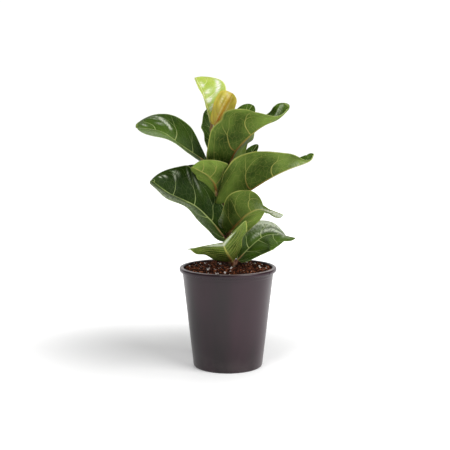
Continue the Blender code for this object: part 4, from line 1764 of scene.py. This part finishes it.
    def reliefs(self, sheet: Mapping[str, Array], length: float) -> tuple[Array, Array, Array]:
        """Give the blade's relief along its normal.

        Between side veins the blade swells as the square of a sine, and dips along the midrib. The
        upper face has a shallow groove at each vein and the lower face a rib, each a bell curve.

        Args:
            sheet: The blade's middle sheet.
            length: The midrib's length.

        Returns:
            The relief of the sheet, of the upper face and of the lower face, in millimetres.
        """
        form = self.form
        end = 1.0 - form.tail
        count, reach, station = sheet["count"], sheet["reach"], sheet["station"]
        apart = np.abs(count - np.round(count)) * length * end / form.veins
        flat, flatter, start = self.relief_ends
        body = 1.0 - smooth(station, end - flat, end - flatter)
        body = body * smooth(station, 0.0, start)
        scale = form.half_width / self.usual_half_width
        inwards = np.sin(np.pi * np.clip(reach, 0.0, 1.0)) ** self.pucker_power
        swell = np.sin(np.pi * count) ** 2 * inwards
        lumps = ripples(sheet["along"], sheet["across"], self.seed, self.lump_length * scale)
        dip = bell(sheet["across"], self.dip_width * scale)
        inner = (1.0 - smooth(reach, self.relief_margin, 1.0)) * (1.0 - dip)
        common = self.pucker * swell + self.lump * lumps * inner - self.dip * dip
        outwards, tipwards = self.rib_fading
        side = bell(apart, self.side_rib_width) * (1.0 - outwards * reach) * body
        rib = bell(sheet["across"], self.rib_width) * (1.0 - tipwards * station)
        upper = -self.grooves[0] * side - self.grooves[1] * rib
        lower = self.side_rib_height * side * (1.0 - dip) + self.rib_height * rib
        return scale * body * common, upper, lower

    def blade(self) -> Patch:
        """Give the blade as two faces that close along the margin, the base and the tip.

        Returns:
            The closed blade, whose lower face has the second finish.
        """
        form = self.form
        _, length = spline(form.midrib, self.stations)
        widest = form.half_width * max(1.0, *form.left_share, *form.right_share)
        row_count = max(self.fewest[0], int(length / self.spacing))
        half_count = max(self.fewest[1], int(widest / self.spacing / self.wider_spacing))
        rows = np.sin(np.linspace(0.0, 1.0, row_count) * np.pi / 2.0) ** self.crowding[0]
        half = np.linspace(0.0, 1.0, half_count + 1) ** self.crowding[1]
        columns = np.concatenate([-half[:0:-1], half])
        wide, middle = len(columns), half_count
        sheet = self.grid(rows, columns)

        def normals_of(grid: Array) -> Array:
            """Give the sheet's normals. The tip takes the one of the row before it."""
            normals = grid_normals(grid)
            normals[-1] = normals[-2, middle]
            return normals

        def to_tip(grid: Array) -> Array:
            """List the points of all rows but the last, and the tip in place of that."""
            return np.concatenate([grid[:-1].reshape(-1, *grid.shape[2:]), grid[-1:, middle]])

        common, above, below = self.reliefs(sheet, length)
        centre = sheet["points"] + normals_of(sheet["points"]) * common[..., None]
        normals = normals_of(centre)
        thicker = (self.thickness - self.rim_thickness) * (1.0 - sheet["reach"] ** self.rim_power)
        upper = centre + normals * above[..., None]
        lower = centre - normals * (self.rim_thickness + thicker + below)[..., None]
        station = to_tip(sheet["station"])
        # Painted light and painted sheen: brightness from base to tip plus soft patches of light
        # and shade, and pale patches where highlights fall.
        dark, bright = form.tone
        light_and_tone_patches, painted_sheens = (
            to_tip(self.patched(patches, rows, columns)) for patches in (form.light_and_tone_patches, form.painted_sheens)
        )
        values = {
            "station": station,
            "tone": dark + (bright - dark) * station + light_and_tone_patches,
            "film": painted_sheens,
            "spacing": np.full(len(station), length * (1.0 - form.tail) / form.veins),
        }
        maps = {
            "blade": to_tip(np.stack([sheet["across"], sheet["along"]], axis=-1)) * MAP_SCALE,
            "veins": to_tip(np.stack([sheet["count"], sheet["reach"]], axis=-1)),
        }
        size, tip = len(station), len(station) - 1
        starts = np.arange(row_count - 1) * wide
        base = np.arange(wide)
        last = starts[-1] + base
        quads = grid_quads(row_count - 1, wide)
        fan = np.stack([last[:-1], last[1:], np.full(wide - 1, tip)], axis=-1)
        margins = (np.append(starts, tip), np.append(starts + wide - 1, tip)[::-1], base[::-1])
        rims = [joining_quads(margin, size) for margin in margins]
        low, high = np.asarray(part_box(form.node), float) / MM
        return Patch(
            np.clip(np.vstack([to_tip(upper), to_tip(lower)]), low, high),
            {0: [quads, fan, *rims], 1: [quads[:, ::-1] + size, fan[:, ::-1] + size]},
            {key: np.vstack([run, run]) for key, run in maps.items()},
            {key: np.concatenate([run, run]) for key, run in values.items()},
        )

    def stalk(self) -> Patch:
        """Give the stalk: a tube from the stem that thickens at its foot and sinks under the blade.

        Returns:
            The closed tube.
        """
        _, centres, along, _, up, _ = self.frames()
        start, height, radius = centres[0], self.form.stem_height(), self.stalk_radius
        axis = self.stem.centre(height)
        outward = unit((start - axis) * (1.0, 1.0, 0.0))
        foot = axis + outward * (self.stem.radius(height) - self.stalk_sink)
        gap = np.linalg.norm(start - foot)
        end = int(self.stalk_end * self.stations)
        under = [
            centres[place] - up[place] * depth * radius
            for place, depth in zip((0, end // 2, end), self.stalk_depths)
        ]
        out, rise, last = (share * gap for share in self.stalk_bends)
        leaving = foot + outward * out + UPWARDS * rise
        arriving = under[0] - along[0] * last
        path = [foot, leaving, arriving, *under]
        curve, _ = spline(path, self.stalk_rings)
        taper = np.interp(np.linspace(0.0, 1.0, self.stalk_rings), *self.stalk_taper)
        return swept(curve, radius * taper, self.stalk_sides, finish=2)

    def build(self) -> None:
        """Build the leaf as one piece with three finishes."""
        node, kind = self.form.node, self.form.kind
        finishes = [finish.material() for finish in kind.finishes]
        patches = [self.blade(), self.stalk()]
        seat(make_piece("fine_" + node, patches, finishes, sharp_angle=70.0), kind.slot, node)


# Each leaf's brightness and soft patches paint light and shade on it, and its sheen patches paint
# highlights.
LEAVES = (
    LeafForm(
        "leaf_low_front",
        midrib=((5, -10, 144), (1, -34, 155), (-4, -60, 168), (-7, -84, 180)),
        half_width=42, facing=(-0.4, 0.1, 0.9), left=(17, 17, 22), right=(23, 23, 17), base=0.38,
        widest=0.9, blunt=30, left_share=(0.9, 0.85, 1.1), right_share=(1.17, 1.17, 1.05),
        foot_drop=6, tone=(0.1, 0.36), veins=8.0,
        light_and_tone_patches=((0.56, 0.46, 0.3, 0.3, -0.15),),
        painted_sheens=((1.0, 0.5, 0.07, 0.7, 0.9), (1.0, -0.5, 0.05, 0.7, 0.7)),
    ),
    LeafForm(
        "leaf_low_right",
        midrib=((13, 0, 144), (30, 5, 161), (48, 8, 175), (66, 6, 178), (90, 0, 174)),
        half_width=38, facing=(0.0, -0.35, 0.93), left=(8, 18, -8, -60), right=(6, -2, -10),
        base=0.4, widest=0.75, blunt=7, tail=0.13, tail_width=0.38, wave=1.2, waves=2.0,
        left_share=(1.0, 1.0, 1.05, 1.0), right_share=(1.1,), foot_drop=6, tone=(0.2, 0.6),
        light_and_tone_patches=((0.38, 0.5, 0.2, 0.3, 0.35),),
        painted_sheens=(
            (0.33, -0.83, 0.05, 0.12, 0.9), (0.46, -0.86, 0.06, 0.1, 1.5),
            (0.58, -0.88, 0.06, 0.14, 1.5), (0.7, -0.9, 0.12, 0.3, 1.5),
            (0.68, -0.34, 0.12, 0.12, 1.6), (0.85, 0.1, 0.05, 0.3, 0.5),
            (0.48, -0.25, 0.1, 0.08, 0.5),
        ),
    ),
    LeafForm(
        "leaf_middle_left",
        midrib=((-8, -5, 180), (-24, -9, 200), (-45, -9, 219), (-77, -5, 234), (-102, 0, 251)),
        half_width=46, facing=(0.6, 0.0, 0.78), left=(-26, -17, -5, -14), right=(97, 72, 60),
        base=0.32, widest=0.8, lobe=(0.07, 0.05), blunt=5.5, left_share=(1.8, 1.02, 0.9, 0.8),
        right_share=(1.8, 1.0, 1.1, 1.05), tone=(0.05, 0.15), veins=3.9,
        light_and_tone_patches=((0.77, 0.38, 0.2, 0.3, -0.35), (0.5, 0.3, 0.15, 0.2, -0.15)),
        painted_sheens=(
            (0.75, -0.8, 0.35, 0.45, 0.38), (0.3, -0.9, 0.12, 0.3, 0.1),
            (0.943, 0.43, 0.01, 0.05, 1.6), (0.91, 0.5, 0.014, 0.07, 1.8),
            (0.818, 0.56, 0.012, 0.1, 1.6), (0.818, 0.7, 0.03, 0.1, 0.7),
            (0.87, 0.75, 0.01, 0.06, 1.2), (0.66, 0.78, 0.02, 0.12, 0.6),
            (0.53, 0.72, 0.02, 0.16, 0.45),
        ),
    ),
    LeafForm(
        "leaf_middle_front",
        midrib=(
            (1, -10, 183), (12, -26, 197), (24, -42, 211), (38, -54, 219), (53, -60, 217),
            (70, -60, 212),
        ),
        half_width=42, facing=(-0.2, 0.6, 0.75), left=(-8, 12, 12, -30), right=(30, 35, 20),
        base=0.4, widest=0.85, blunt=6, tail=0.26, tail_width=0.2,
        left_share=(1.5, 1.25, 1.0, 1.0, 1.0, 1.7),
        right_share=(1.45, 1.12, 0.98, 0.92, 0.9, 0.93, 0.97, 0.97, 0.35, 0.2, 0.2),
        tone=(0.12, 0.5),
        light_and_tone_patches=((0.32, 0.6, 0.15, 0.3, -0.3), (0.3, -0.7, 0.4, 0.5, 0.5)),
        painted_sheens=((0.95, 0.0, 0.16, 2.0, 2.2), (0.05, 0.88, 0.12, 0.2, 0.6)),
    ),
    LeafForm(
        "leaf_middle_right",
        midrib=(
            (9, -9, 228), (29, -14, 240), (57, -22, 258), (80, -24, 269), (99, -22, 275.5),
            (107.5, -20, 279.5), (111.5, -17, 287),
        ),
        half_width=48, facing=(-0.3, 0.75, 0.6), left=(50, 60, 70, 85, 130), right=(14, 12, -20),
        base=0.75, widest=0.3, lobe=(0.0, 0.2), blunt=6,
        left_share=(1.0, 0.99, 0.97, 0.93, 0.86, 0.65, 0.34, 0.27, 0.4),
        right_share=(1.0, 1.04, 1.06, 1.04, 0.963, 0.71, 0.44, 0.14, 0.15), tone=(0.12, 0.6),
        light_and_tone_patches=(
            (0.6, 0.8, 0.3, 0.3, -0.12), (0.9, 0.4, 0.15, 0.6, 0.3), (0.1, 0.4, 0.12, 0.4, 0.6),
            (0.38, 0.41, 0.18, 0.25, -0.2),
        ),
        painted_sheens=((0.82, 0.15, 0.1, 0.35, 0.25),),
    ),
    LeafForm(
        "leaf_small_front",
        midrib=(
            (-15.5, -11, 235.5), (-18, -21, 249), (-27, -31, 261), (-38, -38, 268), (-46, -42, 272),
        ),
        half_width=32, facing=(0.2, 0.7, 0.7), left=(60, 24, 12), right=(12, 5, 20), base=0.2,
        widest=0.6, wave=0.8, left_share=(1.5, 0.98, 0.82), right_share=(1.0, 0.62, 0.6),
        foot_drop=4, tone=(0.25, 0.7), veins=4.0,
        light_and_tone_patches=((0.3, 0.7, 0.3, 0.5, 0.5), (0.6, -0.6, 0.4, 0.5, 0.1), (0.1, -0.7, 0.25, 0.5, -0.3)),
    ),
    LeafForm(
        "leaf_back_left",
        midrib=((-16, 12, 226), (-28, 30, 242), (-41, 44, 252), (-59, 54, 265)),
        half_width=28, facing=(0.3, -0.6, 0.7), left=(15, 15, 15), right=(15, 15, 15), blunt=2.5,
        tone=(0.2, 0.3),
    ),
    LeafForm(
        "leaf_back_right",
        midrib=((3, 12, 229), (14, 30, 257), (26, 44, 276), (41, 54, 296)),
        half_width=18, facing=(-0.3, -0.6, 0.7), left=(15, 15, 15), right=(15, 15, 15), blunt=1.6,
        tone=(0.2, 0.3),
    ),
    LeafForm(
        "leaf_upper_right",
        midrib=(
            (2, -14, 274), (9, -24, 291), (29, -36, 313), (46, -40, 325.5), (63, -42, 333),
            (77, -39, 345),
        ),
        half_width=44, facing=(-0.3, 0.8, 0.5), left=(22, 44, 54, 100, 140),
        right=(0, 20, 10, -30, -10), base=0.88, widest=0.35, lobe=(0.02, 0.2), crest=(0.15, 0.0),
        blunt=8, left_share=(0.9, 1.06, 0.95, 0.745, 0.61, 0.56, 0.41, 0.43, 0.6),
        right_share=(1.0, 0.86, 0.98, 0.92, 1.1, 0.93, 0.52, 0.25, 0.2), tone=(0.08, 0.75),
        veins=3.7,
        light_and_tone_patches=(
            (0.15, -0.7, 0.25, 0.5, 0.45), (0.2, 0.8, 0.2, 0.4, -0.05),
            (0.4, 0.43, 0.18, 0.25, -0.35), (0.75, 0.5, 0.15, 0.6, 0.3),
        ),
        painted_sheens=((0.88, -0.5, 0.05, 0.3, 0.3), (0.83, -0.5, 0.015, 0.2, 0.8)),
    ),
    LeafForm(
        "leaf_upper_left",
        midrib=(
            (-29, 8, 275), (-50, 10, 289), (-64, 10, 298.5), (-82, 9, 312), (-98, 8, 318),
            (-120, 6, 320),
        ),
        half_width=42, facing=(0.41, 0.0, 0.91), left=(-10, -2, -3, -12, -9),
        right=(50, 56, 52, 34, 22), base=0.5, widest=0.42, crest=(0.0, 0.14), blunt=6, wave=0.5,
        left_share=(0.9, 0.9, 0.85, 0.9), right_share=(0.3, 0.82, 1.02), tone=(0.05, 0.6),
        light_and_tone_patches=((0.8, -0.6, 0.4, 0.5, 0.8), (0.45, 0.4, 0.2, 0.4, -0.15)),
        painted_sheens=(
            (0.725, 0.37, 0.03, 0.06, 0.5), (0.8, -0.75, 0.3, 0.35, 0.2),
            (0.745, 0.74, 0.022, 0.09, 1.0), (0.705, 0.56, 0.024, 0.12, 1.25),
            (0.655, 0.45, 0.024, 0.1, 1.25), (0.61, 0.32, 0.02, 0.07, 1.1),
            (0.8, 0.67, 0.014, 0.09, 0.5), (0.87, 0.26, 0.016, 0.08, 1.1),
        ),
    ),
    LeafForm(
        "leaf_back_upper",
        midrib=((-16, 12, 270), (-12, 26, 296), (-14, 34, 323), (-25, 38, 346)),
        half_width=31, facing=(0.5, -0.8, 0.2), left=(10, 10, 10), right=(10, 10, 10),
        tone=(0.1, 0.3),
    ),
    LeafForm(
        "leaf_back_top",
        midrib=((-7, 9, 296), (9, 17, 320), (24, 24, 338), (33, 28, 350)),
        half_width=18, facing=(0.0, -0.6, 0.8), left=(15, 15, 15), right=(15, 15, 15), blunt=4,
        tone=(0.2, 0.4),
        light_and_tone_patches=((0.9, -0.5, 0.15, 0.5, 0.25),),
    ),
    LeafForm(
        "leaf_new_lime",
        midrib=((-22, -1, 327.5), (-26.5, 1, 345), (-33, 5, 367), (-43, 12, 386)),
        half_width=28, facing=(0.2, -0.9, 0.3), left=(65, 65, 50), right=(0, 0, -10), base=0.26,
        widest=0.75, blunt=4, wave=1.0, left_share=(0.5,), right_share=(1.0, 1.1, 1.3, 1.3, 1.15),
        foot_drop=12, kind=LeafKind.LIME, tone=(0.2, 0.9),
        light_and_tone_patches=((0.7, 0.35, 0.2, 0.15, -0.4), (0.95, 0.2, 0.1, 0.4, -0.2)),
        painted_sheens=(
            (0.46, 0.2, 0.05, 0.2, 1.3), (0.62, 0.2, 0.04, 0.16, 1.0), (0.8, 0.12, 0.05, 0.08, 1.3),
            (0.7, 0.75, 0.06, 0.16, 1.2), (0.6, 0.62, 0.05, 0.1, 0.6), (0.3, 0.3, 0.05, 0.2, 0.8),
        ),
    ),
    LeafForm(
        "leaf_new_amber",
        midrib=((-17, -8, 323), (-9, -13, 338), (-1, -15, 353), (6, -14, 365)),
        half_width=16, facing=(-0.3, -0.9, 0.3), left=(20, 20, 20), right=(20, 20, 20), base=0.6,
        widest=0.7, blunt=16, wave=1.0, right_share=(1.0, 1.0, 1.1, 0.4), foot_drop=16,
        kind=LeafKind.AMBER, tone=(0.2, 0.8),
        light_and_tone_patches=(
            (0.75, -0.32, 0.3, 0.06, -0.5), (0.7, -0.75, 0.3, 0.07, -0.5),
            (0.85, 0.4, 0.15, 0.3, -0.6), (0.4, 0.4, 0.2, 0.3, -0.5),
        ),
        painted_sheens=(
            (0.7, -0.5, 0.12, 0.1, 0.7), (0.95, -0.5, 0.05, 0.4, 0.5), (0.5, -0.2, 0.4, 0.05, 0.45),
            (0.6, 0.25, 0.3, 0.05, 0.35),
        ),
    ),
)


# Studio


@dataclass(frozen=True)
class Softbox:
    """A soft lamp: where it stands, where it points and how large and strong it is."""

    name: str
    place: Triple
    aim: Triple
    size: Pair
    power: float

    def build(self) -> None:
        """Set the lamp up."""
        lamp = bpy.data.lights.new(self.name, "AREA")
        lamp.shape = "RECTANGLE"
        lamp.size, lamp.size_y = self.size
        lamp.energy = self.power
        holder = bpy.data.objects.new(self.name, lamp)
        holder.location = self.place
        aside, ahead, up = np.subtract(self.aim, self.place)
        pitch = math.atan2(math.hypot(aside, ahead), -up)
        holder.rotation_euler = (pitch, 0.0, math.atan2(-aside, ahead))
        bpy.context.collection.objects.link(holder)


@dataclass
class Studio:
    """The pale floor, the white backdrop, the soft light and the camera, in metres.

    The camera's pitch is its angle from straight down in degrees. Its lens and sensor are in
    millimetres.
    """

    floor_half: float = 3.0
    backdrop_height: float = 4.0
    backdrop_glow: float = 1.02
    surround: float = 0.055
    camera_place: Triple = (-0.004, -1.270, 0.356)
    camera_pitch: float = 82.6
    camera_lens: float = 76.8
    camera_sensor: float = 36.0
    camera_near: float = 0.05
    lamps: tuple[Softbox, ...] = (
        Softbox("key_right", (1.15, -0.95, 1.25), (0.0, 0.0, 0.15), (1.3, 1.1), 31.0),
        Softbox("top_front", (-0.25, -0.85, 1.7), (0.0, 0.0, 0.2), (0.4, 0.4), 8.5),
        Softbox("card_left", (-2.4, -0.4, 0.8), (0.0, 0.0, 0.1), (1.8, 1.6), 2.6),
    )

    def sheet(self, name: str, corners: Sequence[Triple], finish: Finish) -> None:
        """Put up one flat sheet of the studio.

        Args:
            name: The sheet's name.
            corners: Its four corners, in metres.
            finish: Its finish.
        """
        patch = Patch(np.array(corners) / MM, {0: [np.arange(4)[None, :]]})
        make_piece(name, [patch], [finish.material()])

    def surroundings(self) -> None:
        """Light the scene evenly and weakly from all round, and show white behind it."""
        world = bpy.data.worlds.new("studio")
        world.use_nodes = True
        nodes = Nodes(world.node_tree)
        seen = nodes.add("LightPath", {}).outputs["Is Camera Ray"]
        strength = nodes.fade(seen, 0.0, 1.0, self.surround, self.backdrop_glow)
        background = world.node_tree.nodes["Background"]
        nodes.feed(background, {"Strength": strength, "Color": WHITE})
        bpy.context.scene.world = world

    def camera(self) -> None:
        """Stand the camera where the photograph was taken from."""
        lens = bpy.data.cameras.new("photo_camera")
        lens.lens = self.camera_lens
        lens.sensor_width = self.camera_sensor
        lens.clip_start = self.camera_near
        holder = bpy.data.objects.new("photo_camera", lens)
        holder.location = self.camera_place
        holder.rotation_euler = (math.radians(self.camera_pitch), 0.0, 0.0)
        bpy.context.collection.objects.link(holder)
        bpy.context.scene.camera = holder

    def build(self) -> None:
        """Set up the studio."""
        self.camera()
        half, top = self.floor_half, self.backdrop_height
        left, right = (-half, half, 0.0), (half, half, 0.0)
        floor = [(-half, -half, 0.0), (half, -half, 0.0), right, left]
        backdrop = [left, right, (half, half, top), (-half, half, top)]
        glowing = BackdropFinish("white_backdrop", self.backdrop_glow)
        self.sheet("studio_floor", floor, FloorFinish("pale_floor"))
        self.sheet("studio_backdrop", backdrop, glowing)
        self.surroundings()
        for lamp in self.lamps:
            lamp.build()
        view = bpy.context.scene.view_settings
        view.view_transform = "Standard"
        view.look = "None"


def main() -> None:
    """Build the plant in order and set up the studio."""
    logging.basicConfig(level=logging.INFO, format="%(message)s")
    Studio().build()
    pot = Pot()
    pot.build()
    SoilBed(pot).build()
    stem = Stem()
    stem.build([form.stem_height() for form in LEAVES])
    for seed, form in enumerate(LEAVES):
        LeafPiece(form, stem, seed).build()


if __name__ == "__main__":
    main()
